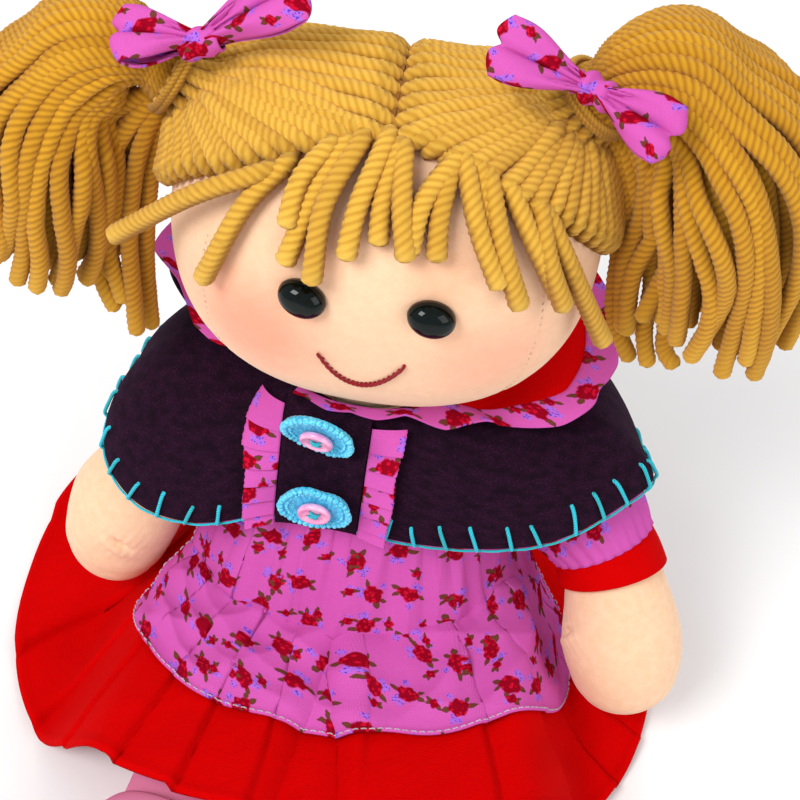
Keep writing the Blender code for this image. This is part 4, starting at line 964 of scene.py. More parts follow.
# %% The torso and the neck
shares = np.linspace(0, 1, 40)
torso_rings = [torso_ring(share * torso_height, 0.0) for share in shares]
for k, low in enumerate((0.72, 0.9)):
    torso_rings.insert(k, torso_ring(0.0, 0.0) * (low, low, 1))
torso_rings += [torso_ring(torso_height, 0.0) * (low, low, 1) for low in (0.8, 0.5)]
torso = set_out(rings_closed("stuffed_body", torso_rings), "torso", skin, "skin_cotton", "torso")

neck_radius = 24.5 * MM
neck_heights = np.linspace(torso_height + 0.4 * MM, torso_height + 12.5 * MM, 10)
neck_turns = full_turn(64)
neck_rings = [np.stack([np.cos(neck_turns) * neck_radius * w, np.sin(neck_turns) * neck_radius * w,
                        np.full(64, z)], 1) for z,
              w in zip(neck_heights, 1 - 0.05 * np.sin(np.linspace(0, pi, 10)))]
neck = set_out(rings_closed("stuffed_neck", neck_rings), "neck", skin, "skin_cotton", "neck")

# %% The head
eye_turn, eye_rise = 19.5, 21
eye_diameter, eye_dome, eye_tall = 13 * MM, 4.8 * MM, 0.8
seam_turn = 50
seam_depth = 0.35 * MM
columns, rows = 192, 96
turns = (np.arange(columns) + 0.5) * 360 / columns - 180
rises = np.concatenate([[-89.5, -88], np.linspace(-86, 86, rows), [88, 89.5]])
turn_grid, rise_grid = np.meshgrid(turns, rises)
ray_grid = head_ray(turn_grid, rise_grid)
dent = np.zeros(turn_grid.shape)
for side in (1, -1):
    seam_at = side * (seam_turn + 6 * np.sin(np.radians(rise_grid)))
    off_seam = (turn_grid - seam_at) * np.cos(np.radians(rise_grid)) * MM
    dent -= seam_depth * np.exp(-(off_seam / (0.9 * MM)) ** 2) * (np.abs(turn_grid) < 90)
    eye_ray = head_ray(side * eye_turn, eye_rise)
    off_eye = np.degrees(np.arccos(np.clip(ray_grid @ eye_ray, -1, 1)))
    dent -= 1.3 * MM * np.exp(-(off_eye / 7.0) ** 2)
pucker = waves(rise_grid * 1.0, 4, 3, 0.5, 1.4) * np.exp(-((np.abs(turn_grid) - seam_turn) / 9) ** 2)
dent += 0.08 * MM * pucker
head = rings_closed("stuffed_head", on_head(ray_grid, dent))

# A blush on each cheek, then painted shadow of the fringe on the forehead above each eye.
blush_and_fringe_shadow = [(tuple(head_place(-33, 1, 0.0)), 29 * MM, linear(250, 138, 112), 0.62),
          (tuple(head_place(37, 1, 0.0)), 26 * MM, linear(250, 150, 124), 0.36),
          (tuple(head_place(-22, 34, 0.0)), 15 * MM, linear(232, 158, 118), 0.35),
          (tuple(head_place(22, 34, 0.0)), 15 * MM, linear(232, 158, 118), 0.35)]
face_skin = skin_finish("peach_jersey_with_blush_and_painted_shadow", blush_and_fringe_shadow, (243, 199, 162), (248, 206, 171))
set_out(head, "head", face_skin, "skin_cotton", "head")
print("head faces", piece_faces["stuffed_head"])

# %% [markdown]
# ## The face
# The eyes are glossy black plastic domes on posts, held by a washer inside the head, with a thin brown ring
# of the moulding showing round each. The smile is one line of dark red stem stitch: short slanted stitches,
# each starting beside the end of the last. A tiny stitch holds each end.

# %% Eyes
for side, word in ((1, "left"), (-1, "right")):
    skin_spot = head_place(side * eye_turn, eye_rise, 0.0)
    out_way = head_normal(side * eye_turn, eye_rise)
    across, top = ring_frame(out_way, (0.31, 0.17, 0.94))
    top = top * eye_tall
    half, tall = eye_diameter / 2, eye_dome
    angles = np.linspace(0, pi / 2, 14)[:-1]
    profile = [(half * 0.75, -1.4 * MM), (half * 0.95, -0.9 * MM), (half * 1.0, -0.2 * MM)]
    profile += [(half * cos(a) ** 0.8, tall * (0.06 + 0.94 * sin(a))) for a in angles]
    circle_turns = full_turn(56)
    circle = np.cos(circle_turns)[:, None] * across + np.sin(circle_turns)[:, None] * top
    rings = [skin_spot + out_way * (level_up + 0.2 * MM) + circle * wide for wide, level_up in profile]
    eye = rings_closed("eye_dome_" + word, rings)
    eye.data.materials.append(eye_gloss)
    eye.data.materials.append(eye_rim)
    for face in eye.data.polygons:
        spot = np.array(face.center) - skin_spot
        face.material_index = 1 if np.dot(spot, out_way) < 0.35 * MM else 0
    set_out(eye, "head", None, "eye_plastic", "eye_" + word)

# %% The smile
mouth_turn, mouth_end_rise, mouth_bottom_rise = 13, -0.5, -14
smile_shares = np.linspace(-1, 1, 81)
smile_rises = mouth_bottom_rise + (mouth_end_rise - mouth_bottom_rise) * smile_shares ** 2
smile_stitches = 19
lines = []
for k in range(smile_stitches):
    start = -1 + 2 * k / smile_stitches - 0.03
    places = np.clip(np.linspace(start, start + 2.9 / smile_stitches, 9), -1, 1)
    sideways = np.linspace(-0.35, 0.35, 9)
    height = 0.9 * MM * np.sin(np.linspace(0.1, 1, 9) * pi) ** 0.5
    rise = np.interp(places, smile_shares, smile_rises) + sideways
    lines.append((head_place(places * mouth_turn, rise, height - 0.1 * MM), [1.0] * 9))
smile = strands("smile_stitches", lines, smile_thread, 1.05 * MM, 1.5 * MM, 0.25 * MM, plies=3, groove=0.2)
set_out(smile, "head", None, "thread", "mouth_stitch")

# %% Seam stitches on the sides of the face
lines = []
for side in (1, -1):
    for rise in np.arange(-46, 26, 2.4):
        at = side * (seam_turn + 6 * sin(radians(rise)))
        reach = 0.42
        places = [head_place(at + side * o * 0.25, rise + o * reach, -seam_depth + h * MM)
                  for o, h in ((-1, -0.2), (-0.5, 0.12), (0.5, 0.12), (1, -0.2))]
        lines.append((np.array(places), [1.0] * 4))
seam = strands("face_seam_stitches", lines, skin_thread, 0.34 * MM, 0.8 * MM, 0.2 * MM, plies=2, groove=0.15)
set_out(seam, "head", None, "thread")
print("stitches", len(lines))

# %% [markdown]
# ## The wig
# The wig is sewn on in rows. On each side the strands start at the parting or at the hairline, lie close side
# by side on the head, and run to the place where the pigtail is tied. A strand that is pulled tight takes the
# shortest way, so each one follows a great circle of the head from its root to the tie. Near the tie the
# strands crowd, get thinner and lie over each other. Under them is a plain cap of the same yarn in a darker
# tone, painted shade between the strands, so that no skin shows between them.

# %% Sizes of the wig
yarn_width, yarn_lay, yarn_step = 5.4 * MM, 9.0 * MM, 0.8 * MM
hairline_table = ((0, 70), (27, 64), (43, 54), (53, 42), (63, 32), (75, 16), (86, 5), (100, -8), (120, -26),
                  (150, -38), (180, -42))
tie_radius = 11.5 * MM
tie_shares = {"left": (0.82, 0.0, 0.985), "right": (-1.0, 0.0, 0.78)}
pigtail_size = np.array([50, -6, 76]) * MM
pigtail_paths = {
    "left": ((0.00, 0.0, 0.00), (0.15, 0.0, 0.12), (0.40, 0.0, 0.13), (0.70, 0.1, -0.04), (0.88, 0.5, -0.34),
             (0.94, 0.8, -0.62), (0.94, 1.0, -0.86)),
    "right": ((0.00, 0.0, 0.00), (0.26, 0.0, 0.08), (0.50, 0.0, 0.00), (0.66, 0.2, -0.18), (0.70, 0.5, -0.42),
              (0.72, 0.8, -0.62), (0.80, 1.0, -0.80)),
}
sides = ((1, "left"), (-1, "right"))


def hairline(turn):
    return soft_table(np.abs(turn), hairline_table)


def tie_place(word):
    return head_centre + np.array(tie_shares[word]) * np.array([head_width, 2 * head_front_depth,
            head_height]) / 2


def pigtail_line(side, word, count=60):
    return smooth_line(tie_place(word) + np.array(pigtail_paths[word]) * pigtail_size * (side, 1, 1), count)


def head_level(points):
    """How high places are above the skin, and the ray of each."""
    local = (points - head_centre) @ tilt_matrix
    far = np.linalg.norm(local, axis=-1)
    ray = local / far[..., None]
    skin_far = np.linalg.norm((on_head(ray, 0.0) - head_centre), axis=-1)
    return far - skin_far, ray


# %% The cap under the strands
for side, word in sides:
    cap_turns = np.linspace(0.3, 178, 60)
    climb = np.linspace(0, 1, 26)
    start_rise = hairline(cap_turns) + 1.5
    rise = start_rise[None] + (89.2 - start_rise[None]) * climb[:, None]
    turn = np.broadcast_to(side * cap_turns, rise.shape)
    low = head_place(turn, rise, 0.35 * MM)
    high = head_place(turn, rise, 1.2 * MM + 1.4 * MM * ease(climb * 4)[:, None])
    cap = cloth("wig_cap_" + word, low, high)
    set_out(cap, "head", wig_ground_painted_shade, "yarn")


# %% The rows of strands on the head
def rim_rays(side, pitch):
    """Rays at even distances round one half of the wig: along the hairline, then back along the parting."""
    line_turns = np.linspace(2.5, 180, 300)
    turns = np.concatenate([line_turns, np.full(120, 180.0), np.full(40, 0.0)])
    rises = np.concatenate([hairline(line_turns), np.linspace(-42, 90, 120), np.linspace(90, 69, 40)])
    places = head_place(side * turns, rises, 0.0)
    gone = travelled(places)
    at = np.arange(pitch / 2, gone[-1], pitch)
    return head_ray(side * np.interp(at, gone, turns), np.interp(at, gone, rises)), at / gone[-1]


def strand_to_tie(start_ray, tie, axis, side, number):
    """One strand from its root, over the head, and through the tie."""
    tie_ray = unit((tie - head_centre) @ tilt_matrix)
    angle = np.arccos(np.clip(start_ray @ tie_ray, -1, 1))
    t = np.linspace(0, 1, 22)[:-3]
    ray = (np.sin((1 - t) * angle)[:, None] * start_ray
           + np.sin(t * angle)[:, None] * tie_ray) / np.sin(angle)
    over = 0.9 * MM * (number % 2) + 0.5 * MM * (number % 3)
    lift = 0.8 * MM + 2.7 * MM * ease(t * 9) + (2.2 * MM + over) * ease((t - 0.25) / 0.6)
    shift = 0.35 * MM * waves(t * angle * 12, 50 + number, 3, 0.6, 1.6) * ease(t * 6)
    places = on_head(ray, lift)
    sideways = unit(np.cross(tangents_of(places), places - head_centre))
    places = places + sideways * shift[:, None]
    spoke = places[-5] - tie
    spoke = unit(spoke - axis * np.dot(spoke, axis))
    inside = tie_radius - 2.4 * MM - (number % 3) * 2.0 * MM
    enter = tie - axis * 3.5 * MM + spoke * inside
    path = np.vstack([places[:-4], 0.45 * places[-4] + 0.55 * (enter - axis * 4 * MM + spoke * 2.0 * MM),
                      enter,
                      tie + axis * 2 * MM + spoke * inside * 0.95])
    return smooth_line(path, 44)


for side, word in sides:
    tie = tie_place(word)
    axis = tangents_of(pigtail_line(side, word))[0]
    rays, rim_shares = rim_rays(side, 4.95 * MM)
    lines = []
    for number, ray in enumerate(rays):
        points, wide = cut_end(strand_to_tie(ray, tie, axis, side, number), 1.5 * MM, 4.0 * MM)
        gone = travelled(points)
        wide = np.array(wide) * (1 - 0.36 * ease((gone / gone[-1] - 0.5) / 0.45))
        lines.append((points, wide))
    hair = strands("wig_strands_" + word, lines, gold_yarn, yarn_width, yarn_lay, yarn_step, groove=0.06,
                   middle=head_centre)
    set_out(hair, "head", None, "yarn", "hair_" + word)
    print("wig", word, len(lines), "strands", piece_faces[hair.name], "triangles")

# %% [markdown]
# ## The fringe
# Loose cut strands hang over the forehead from under the front row. Each was read off the picture as three
# pixels: where it comes out, its middle and its tip. The camera sees each pixel along a line, and the
# strand lies where that line meets the head, lifted by about half its own width. The outermost one on the
# doll's right sticks out past the head, so it lies where its line of sight passes nearest to the head. The
# tips are cut off bluntly.

# %% The loose strands
fringe_pixels = (
    ((264, 172), (190, 196), (112, 236), 6.0), ((286, 165), (244, 206), (202, 280), 1.0),
    ((330, 146), (300, 180), (286, 228), 2.2), ((345, 146), (312, 200), (284, 264), 0.2),
    ((360, 143), (324, 206), (311, 284), 1.9), ((386, 143), (358, 206), (345, 260), 0.9),
    ((399, 150), (383, 200), (378, 246), -0.2), ((404, 152), (402, 208), (406, 262), 1.9),
    ((458, 158), (424, 200), (408, 256), 0.6), ((452, 168), (440, 215), (436, 262), -0.3),
    ((466, 164), (478, 228), (500, 288), 1.4), ((482, 172), (494, 240), (510, 280), -0.1),
    ((490, 180), (502, 244), (520, 308), 1.8), ((511, 190), (534, 244), (560, 298), 0.4),
    ((540, 208), (548, 258), (564, 308), 1.6), ((548, 216), (574, 276), (604, 343), 0.6),
)


def beside_head(pixels, lift):
    """Where sight lines come to a height above the skin, or where they pass the head most closely."""
    ways = sight_lines(pixels)
    nearest = ways @ (head_centre - eye_point)
    far = nearest - 90 * MM
    for _ in range(60):
        level, _ray = head_level(eye_point + ways * far[:, None])
        far = np.minimum(far + (level - lift) * 0.7, nearest)
    for k in range(1, len(far)):
        far[k] = min(far[k], far[k - 1] * (1 + 1.2 * np.linalg.norm(ways[k] - ways[k - 1])))
    return eye_point + ways * far[:, None]


lines = []
for number, (root, middle, tip, away) in enumerate(fringe_pixels):
    root, middle, tip = (np.array(spot, float) for spot in (root, middle, tip))
    path = smooth_line(np.array([root - (middle - root) * 0.22, root, middle, tip]), 24)
    t = np.linspace(0, 1, 24)
    lift = (2.2 + 1.1 * ease(t * 4) + away * ease(t * 1.5 - 0.1)) * MM
    points, wide = cut_end(beside_head(path, lift), 1.6 * MM, 3.0 * MM)
    lines.append((points, np.array(wide) * (1 + 0.10 * ease(np.linspace(-2.2, 1, len(points))))))
fringe = strands("fringe_strands", lines, gold_yarn, yarn_width * 1.04, yarn_lay, 0.7 * MM, groove=0.10,
                 middle=head_centre)
set_out(fringe, "head", None, "yarn", "fringe")
print("fringe", piece_faces["fringe_strands"], "triangles")

# %% [markdown]
# ## The pigtails
# Each pigtail is a bundle of about sixty strands that leaves the tie, arches out and hangs. The bundle
# follows one middle line, and its width along that line is the solid's. A strand keeps its own place in the
# bundle: four rings of strands, one inside the other. Small waves move each strand a little, and the ends
# are cut at uneven lengths. A few loose strands beside the head were read off the picture, like the fringe.

# %% The bundles
bundle_widths = ((0.0, 11.5), (6.9, 9.2), (9.5, 10.9), (14.4, 13.8), (21.9, 17.3), (32.2, 20.9), (44.9, 27.8),
                 (59.8, 31.3), (80.5, 30.5), (103.5, 28.4))
bundle_depths = ((0.0, 11.5), (6.9, 9.2), (9.5, 10.9), (14.4, 13.8), (21.9, 17.3), (32.2, 16.6), (44.9, 22.1),
                 (59.8, 24.8), (80.5, 24.2), (103.5, 22.5))
bundle_rings = ((1.0, 29, 0.0), (0.68, 19, 0.4), (0.36, 10, 0.9), (0.06, 3, 0.2))
inner_pixels = {
    "left": (((622, 122), (645, 160), (642, 212), (624, 262), (622, 330)),
             ((632, 118), (668, 158), (668, 212), (634, 272), (626, 334)),
             ((640, 122), (684, 170), (686, 228), (656, 290), (640, 322)),
             ((645, 130), (694, 205), (702, 270), (684, 318), (660, 340)),
             ((625, 150), (640, 215), (652, 275), (644, 330), (648, 366)),
             ((635, 150), (660, 225), (672, 290), (664, 345), (676, 368)),
             ((618, 150), (628, 205), (618, 262), (614, 315), (630, 360))),
    "right": (((150, 92), (112, 112), (82, 150), (76, 206), (92, 250), (112, 276)),
              ((156, 98), (134, 120), (112, 156), (104, 206), (110, 256), (124, 302)),
              ((160, 104), (146, 132), (134, 176), (129, 236), (133, 290), (137, 334)),
              ((163, 110), (154, 150), (148, 200), (146, 256), (149, 300), (152, 328)),
              ((152, 96), (124, 128), (96, 176), (90, 226), (98, 270), (116, 310))),
}
for side, word in sides:
    middle = pigtail_line(side, word, 80)
    tie = tie_place(word)
    gone = travelled(middle)
    ahead = tangents_of(middle)
    across, top = ring_frame(ahead, np.array([0.0, -1.0, 0.0]))
    deep = soft_table(gone / MM, bundle_depths) * MM
    wide = soft_table(gone / MM, bundle_widths) * MM * (0.88 if word == "right" else 1.0)
    chance = np.random.default_rng(31 + side)
    lines = []
    for ring_share, count, phase in bundle_rings:
        for k in range(count):
            number = len(lines)
            spot = 2 * pi * (k + phase) / count + chance.uniform(-0.06, 0.06)
            t = gone / gone[-1]
            drift = spot + 0.10 * waves(t * 5, 200 + number, 2, 0.7, 1.8) * ease(t * 2)
            share = ring_share * (1 + 0.06 * waves(t * 6, 400 + number, 2, 0.6, 1.5) * ease(t * 2))
            room = 2.3 * MM * min(ring_share * 1.6, 1.0)
            points = (middle + across * ((deep - room) * share * np.cos(drift))[:, None]
                      + top * ((wide - room) * share * np.sin(drift))[:, None])
            high, ray = head_level(points)
            need = 9.5 * MM * ease((gone - 12 * MM) / (16 * MM))
            push = np.maximum(need - high, 0) * (gone > 12 * MM)
            points = points + (ray @ tilt_matrix.T) * push[:, None]
            under = np.maximum(0, -np.cos(drift[-1]) * side)
            last = gone[-1] - chance.uniform(0, 7) * MM - (1 - ring_share) * 5 * MM * chance.uniform(0.4, 1)
            kept = gone < last - 1.5 * MM
            tip = np.array([np.interp(last, gone, points[:, c]) for c in range(3)])
            points = np.vstack([points[kept], tip])
            points, shares_of_width = cut_end(points, 1.4 * MM)
            far = travelled(points)
            thin = 0.62 + 0.38 * ease((far - 8 * MM) / (22 * MM))
            lines.append((points, np.array(shares_of_width) * thin))
    for number, path in enumerate(inner_pixels[word]):
        ways = sight_lines(smooth_line(np.array(path, float), 40))
        forward = tie_place(word)[1] - np.linspace(3, 15 + 3 * (number % 3), 40) * MM
        points = eye_point + ways * ((forward - eye_point[1]) / ways[:, 1])[:, None]
        high, ray = head_level(points)
        points = points + (ray @ tilt_matrix.T) * np.maximum(3.4 * MM - high, 0)[:, None]
        lines.append(cut_end(np.vstack([tie_place(word) + 0.3 * (points[0] - tie_place(word)), points]),
                             1.4 * MM))
    # The pigtails take the darker copy of the yarn, painted shade of the bundles.
    tail = strands("pigtail_strands_" + word, lines, pigtail_yarn_painted_shade, yarn_width, yarn_lay * 0.9, 0.9 * MM,
                   groove=0.11,
                   middle=tie + (middle[30] - tie) * (1, 1, 0))
    set_out(tail, "pigtail_" + word, None, "yarn", "pigtail_" + word)
    print("pigtail", word, len(lines), "strands", piece_faces[tail.name], "triangles")

# %% The ties
for side, word in sides:
    tie = tie_place(word)
    axis = tangents_of(pigtail_line(side, word))[0]
    across, top = ring_frame(axis, np.array([0.0, 1.0, 0.0]))
    t = np.linspace(0, 1, 90)
    turn = 2 * pi * 2.3 * t
    points = (tie + axis * ((t - 0.5) * 3.4 * MM)[:, None]
              + (np.cos(turn)[:, None] * across + np.sin(turn)[:, None] * top) * (tie_radius - 0.6 * MM))
    band = strands("yarn_tie_" + word, [cut_end(points, 1 * MM)], gold_yarn, 2.6 * MM, 3.6 * MM, 0.6 * MM,
                   plies=3)
    set_out(band, "head", None, "yarn", "hair_tie_" + word)

# %% [markdown]
# ## Arms, legs and feet
# The arms are stuffed mittens of the same jersey as the face: a narrow upper arm, a full hand, and one
# small tuck where the maker stitched a thumb in. The legs and the round shoes are plain pink cotton. All
# four are rings along a line. The tuck is a dent with a pinched ridge beside it, which is how the cloth
# gathers at a few tight stitches.

# %% Lines of the limbs
shoulder_drop, shoulder_forward, shoulder_inset = 22 * MM, 4 * MM, 10 * MM
arm_diameter = 40 * MM
arm_size = np.array([46.5, -43, -81]) * MM
arm_paths = {
    "left": ((0, 0, 0), (0.36, 0.22, 0.20), (0.70, 0.50, 0.42), (0.91, 0.89, 0.72), (1.0, 1.0, 1.0)),
    "right": ((0, 0, 0), (0.14, 0.08, 0.14), (0.29, 0.22, 0.34), (0.50, 0.41, 0.61), (0.63, 0.56, 0.945)),
}
arm_swell = ((0.0, 0.74), (0.3, 0.72), (0.5, 0.76), (0.6, 0.88), (0.72, 1.0), (0.82, 0.96), (0.9, 0.84),
             (0.97, 0.5),
             (1.0, 0.2))
cotton = 1.2 * MM
seam_gap = 0.3 * MM
hip_spacing, hip_forward, leg_splay = 48 * MM, 28 * MM, radians(12)
leg_diameter, ankle_diameter, leg_length = 36 * MM, 31 * MM, 92 * MM
foot_width, foot_height, foot_length = 46 * MM, 45 * MM, 48 * MM
bodice_side = torso_ring(torso_height - shoulder_drop - arm_diameter / 2, 2 * seam_gap + cotton)[:, 0].max()


def arm_line(side, word, count=150):
    start = np.array([side * (bodice_side + shoulder_inset), -shoulder_forward, torso_height - shoulder_drop])
    return smooth_line(start + np.array(arm_paths[word]) * arm_size * (side, 1, 1), count)


def arm_half(share):
    """The arm's half width: full in the hand and round at its tip."""
    half = soft_table(share, arm_swell) * arm_diameter / 2
    round_tip = arm_diameter / 2 * 0.84 * np.sqrt(np.clip(1 - ((share - 0.88) / 0.125) ** 2, 0, 1))
    return np.where(share > 0.9, np.minimum(half * 1.1, np.maximum(round_tip, 0.2 * MM)), half)


# %% The arms
hand_fullness = {"left": 0.97, "right": 0.94}
thumb_pixels = {"left": ((565, 632), 0.5), "right": ((120, 545), -0.4)}
for side, word in sides:
    line = arm_line(side, word)
    share = np.linspace(0, 1, len(line))
    half = arm_half(share) * hand_fullness[word]
    ahead = tangents_of(line)
    ball = np.radians(np.linspace(-80, -12, 7))
    centres = np.vstack([line[0] + ahead[0] * half[0] * np.sin(ball)[:, None], line])
    aheads = np.vstack([np.repeat(ahead[:1], len(ball), axis=0), ahead])
    halves = np.concatenate([half[0] * np.cos(ball), half])
    rings = tube_rings(centres, halves, halves * 0.97, np.array([0, -1, 0.2]), 132, aheads)
    keep = bodice_side + seam_gap
    rings[..., 0] = np.where(rings[..., 0] * side < keep, keep * side, rings[..., 0])
    spots = rings - centres[:, None]
    away = unit(spots)
    wanted, lean = thumb_pixels[word]
    seen, _far = pixels_of(rings)
    hidden = ((eye_point - rings) * away).sum(-1) < 0
    row, column = np.unravel_index(np.argmin(np.hypot(*np.moveaxis(seen - wanted, -1, 0)) + 1e4 * hidden),
                                   hidden.shape)
    from_tuck = (rings - rings[row, column]) / MM
    run_way = aheads[row] * cos(lean) + np.cross(away[row, column], aheads[row]) * sin(lean)
    along, off = from_tuck @ run_way, from_tuck @ np.cross(away[row, column], run_way)
    near = np.exp(-(from_tuck ** 2).sum(-1) / 7.0 ** 2)
    pinch = -2.3 * np.exp(-(along / 1.1) ** 2 - (off / 3.6) ** 2) * (near > 0.05) + 1.2 * near * np.exp(
        -((along - 2.6) / 1.7) ** 2) + 0.25 * near * np.sin(off * 2.2)
    full_share = np.concatenate([np.zeros(len(ball)), share])[:, None]
    crease = 0.18 * waves(full_share * 18 + np.arange(132) * 0.093, 61 + side, 4, 0.5,
                          1.6) * (full_share > 0.3)
    rings = rings + away * ((pinch + crease) * MM)[..., None] * (halves[:, None, None] > 4 * MM)
    arm = set_out(rings_closed("stuffed_arm_" + word, rings), "arm_" + word, skin, "skin_cotton",
                  "arm_" + word)

# %% The legs and the shoes
for side, word in sides:
    root = np.array([side * hip_spacing / 2, -hip_forward, leg_diameter / 2 - 0.5 * MM])
    ahead = np.array([side * sin(leg_splay), -cos(leg_splay), 0])
    share = np.linspace(0, 1, 50)
    ball = np.radians(np.linspace(-80, -8, 8))
    half = leg_diameter / 2 + (ankle_diameter - leg_diameter) / 2 * ease(share * 1.4 - 0.4)
    half = half * (1 + 0.012 * waves(share * 9, 70 + side, 3, 0.6, 1.5))
    centres = np.vstack([root + ahead * leg_diameter / 2 * np.sin(ball)[:, None],
                         root + ahead * leg_length * share[:, None]])
    halves = np.concatenate([leg_diameter / 2 * np.cos(ball), half])
    rings = tube_rings(centres, halves, halves, np.array([0, 0, 1.0]), 64,
                       np.repeat(ahead[None], len(centres), 0))
    rings[..., 2] = np.maximum(rings[..., 2], 0)
    leg = set_out(rings_closed("stuffed_leg_" + word, rings), "leg_" + word, pink_cotton, "pink_cotton",
                  "leg_" + word)

    crosswise = np.array([-ahead[1], ahead[0], 0])
    heel = leg_length + seam_gap
    middle = root + ahead * (heel + foot_length * 0.42)
    middle[2] = foot_height / 2 - 0.5 * MM
    turns = full_turn(72)
    rings = []
    for reach in np.sin(np.radians(np.concatenate([np.linspace(-47, 84, 44), [87, 89]]))):
        wide = max(1 - abs(reach) ** 2.3, 1e-4) ** 0.5
        ring = (middle + ahead * foot_length * 0.58 * reach
                + crosswise * (foot_width / 2 * wide * np.cos(turns))[:, None]
                + np.array([0, 0, 1.0]) * (foot_height / 2 * wide * np.sin(turns))[:, None])
        seam = 0.8 * MM * np.exp(-(np.sin(turns) * foot_height / 2 * wide / (1.0 * MM)) ** 2)
        ring -= unit(ring - middle) * seam[:, None]
        ring[:, 2] = np.maximum(ring[:, 2], 0)
        ring += ahead * np.maximum(heel - (ring - root) @ ahead, 0)[:, None]
        rings.append(ring)
    shoe = set_out(rings_closed("stuffed_shoe_" + word, rings), "leg_" + word, pink_cotton, "pink_cotton",
                   "foot_" + word)
print("arm, leg and shoe", piece_faces["stuffed_arm_left"], piece_faces["stuffed_leg_left"])

# %% [markdown]
# ## The bows
# Each bow is a strip of the printed cotton folded into two loops, drawn together by a small wrapped knot. A
# loop is pinched to a few folds at the knot and opens to its full width at its end. So each loop here is
# one sheet: it runs out from the knot, turns back at the tip and comes home under itself, and folds run
# along it that fade towards the tip.

# %% The loops and knots
knot_radius, knot_half = 4.6 * MM, 5.2 * MM
bow_reach, bow_half = 27 * MM, 7.6 * MM
bow_shift = {"left": (-1.5, 0, 0), "right": (3.5, -1.0, -1.5)}
bow_faces = {"left": (-0.05, -0.72, 0.69), "right": (0.25, -0.36, 0.90)}
bow_wings = {
    "left": ((-0.96, 0.0, 0.38), (0.74, -0.52, 0.0)),
    "right": ((-0.80, -0.10, 0.06), (0.92, 0.10, 0.70)),
}
for side, word in sides:
    face_way = unit(np.array(bow_faces[word]))
    knot = tie_place(word) + face_way * (tie_radius + 9.7 * MM) + np.array(bow_shift[word]) * MM
    for wing_number, wing in enumerate(bow_wings[word]):
        reach = np.array(wing) * bow_reach
        ahead = unit(reach)
        crosswise = unit(np.cross(ahead, face_way))
        lift_way = np.cross(crosswise, ahead)
        t = np.linspace(0, 1, 61)
        out = np.where(t < 0.5, 0.5 - 0.5 * np.cos(np.minimum(t * 2, 1) * pi),
                       0.5 + 0.5 * np.cos((t - 0.5) * 2 * pi))
        open_up = np.sin(t * 2 * pi) * np.sin(t * pi) ** 0.5
        s = np.linspace(-1, 1, 37)
        wide = 1.6 * MM + (bow_half - 1.6 * MM) * ease(out * 1.25 - 0.06)
        puff = 5.4 * MM * open_up
        humps = 0.02 + 0.98 * np.abs(np.sin(pi * np.clip(s * 0.93 + 0.05, -1, 1))) ** 0.65
        folds = (1 - ease(out * 1.15 - 0.1))[:, None]
        pleat = (1.5 * MM * np.cos(s * 2.6 * pi + wing_number) * folds
                 + 0.6 * MM * waves(s * 4 + wing_number * 2, 17 + wing_number, 3, 0.6, 1.6)
                 * np.sqrt(out)[:, None])
        tip_bend = MM * (out[:, None] ** 3) * (1.6 - 2.9 * s ** 2 - 2.6 * np.exp(-((s - 0.03) / 0.22) ** 2))
        place = (knot + ahead * (out * np.linalg.norm(reach))[:, None, None]
                 - ahead * (0.9 * MM) + ahead * tip_bend[..., None]
                 + crosswise * (wide[:, None] * s)[..., None]
                 + lift_way * (puff[:, None] * humps + pleat)[..., None])
        outward = grid_normals(place, place - (knot + reach * 0.55))
        loop = cloth("bow_loop_%s_%s" % (word, "ab"[wing_number]), place - outward * 0.35 * MM,
                     place + outward * 0.35 * MM)
        set_out(loop, "pigtail_" + word, printed_cotton, "floral_cotton",
                *(["bow_" + word] if wing_number == 0 else []))
        declare_cloth(loop, place)
    first, last = (np.array(wing) for wing in bow_wings[word])
    axis = unit(last - first)
    across, top = ring_frame(axis, face_way)
    turns = np.linspace(0, 2 * pi, 73)[:-1]
    along = np.linspace(-1, 1, 15)
    crumple = 0.5 * MM * waves(along[:, None] * 3.0 + 0.5 * np.sin(turns)[None] * 2, 23 + side, 3, 1.2, 3.0)
    bulge = knot_radius * (0.78 + 0.22 * np.sqrt(1 - (along * 0.94) ** 2))[:, None] + crumple
    ring_way = np.cos(turns)[:, None] * across * 0.82 + np.sin(turns)[:, None] * top
    place = knot + axis * (along * knot_half)[:, None, None] + ring_way[None] * bulge[..., None]
    wrap = cloth("bow_wrap_" + word, place - ring_way[None] * 0.7 * MM, place, wrap=True)
    set_out(wrap, "pigtail_" + word, printed_cotton, "floral_cotton", "bow_knot_" + word)
    declare_cloth(wrap, place, wrap=True)
print("bows", piece_faces["bow_loop_left_a"])

# %% [markdown]
# ## The dress
# Under the cape the doll wears a printed bodice with short puffed sleeves in red bands, a long red skirt
# and a printed overskirt with a rounded front edge. The skirt is gathered at the waist, falls over both
# legs and spreads on the table, so its shape is a rule: a waist, a hem, a fall between them, and a hump
# over the legs. Folds run down it from the gathers, in uneven sizes, and small creases cross them. The
# overskirt is laid on the skirt's own surface, so the two never cross.

# %% The skirt as a surface
waist_side, waist_front = 73 * MM, 90 * MM
hem_width, hem_depth, hem_squareness, hem_forward = 221 * MM, 190 * MM, 2.4, 25 * MM
skirt_fall = 4.0
lap_slope, lap_clearance = 34 * MM, 1.2 * MM


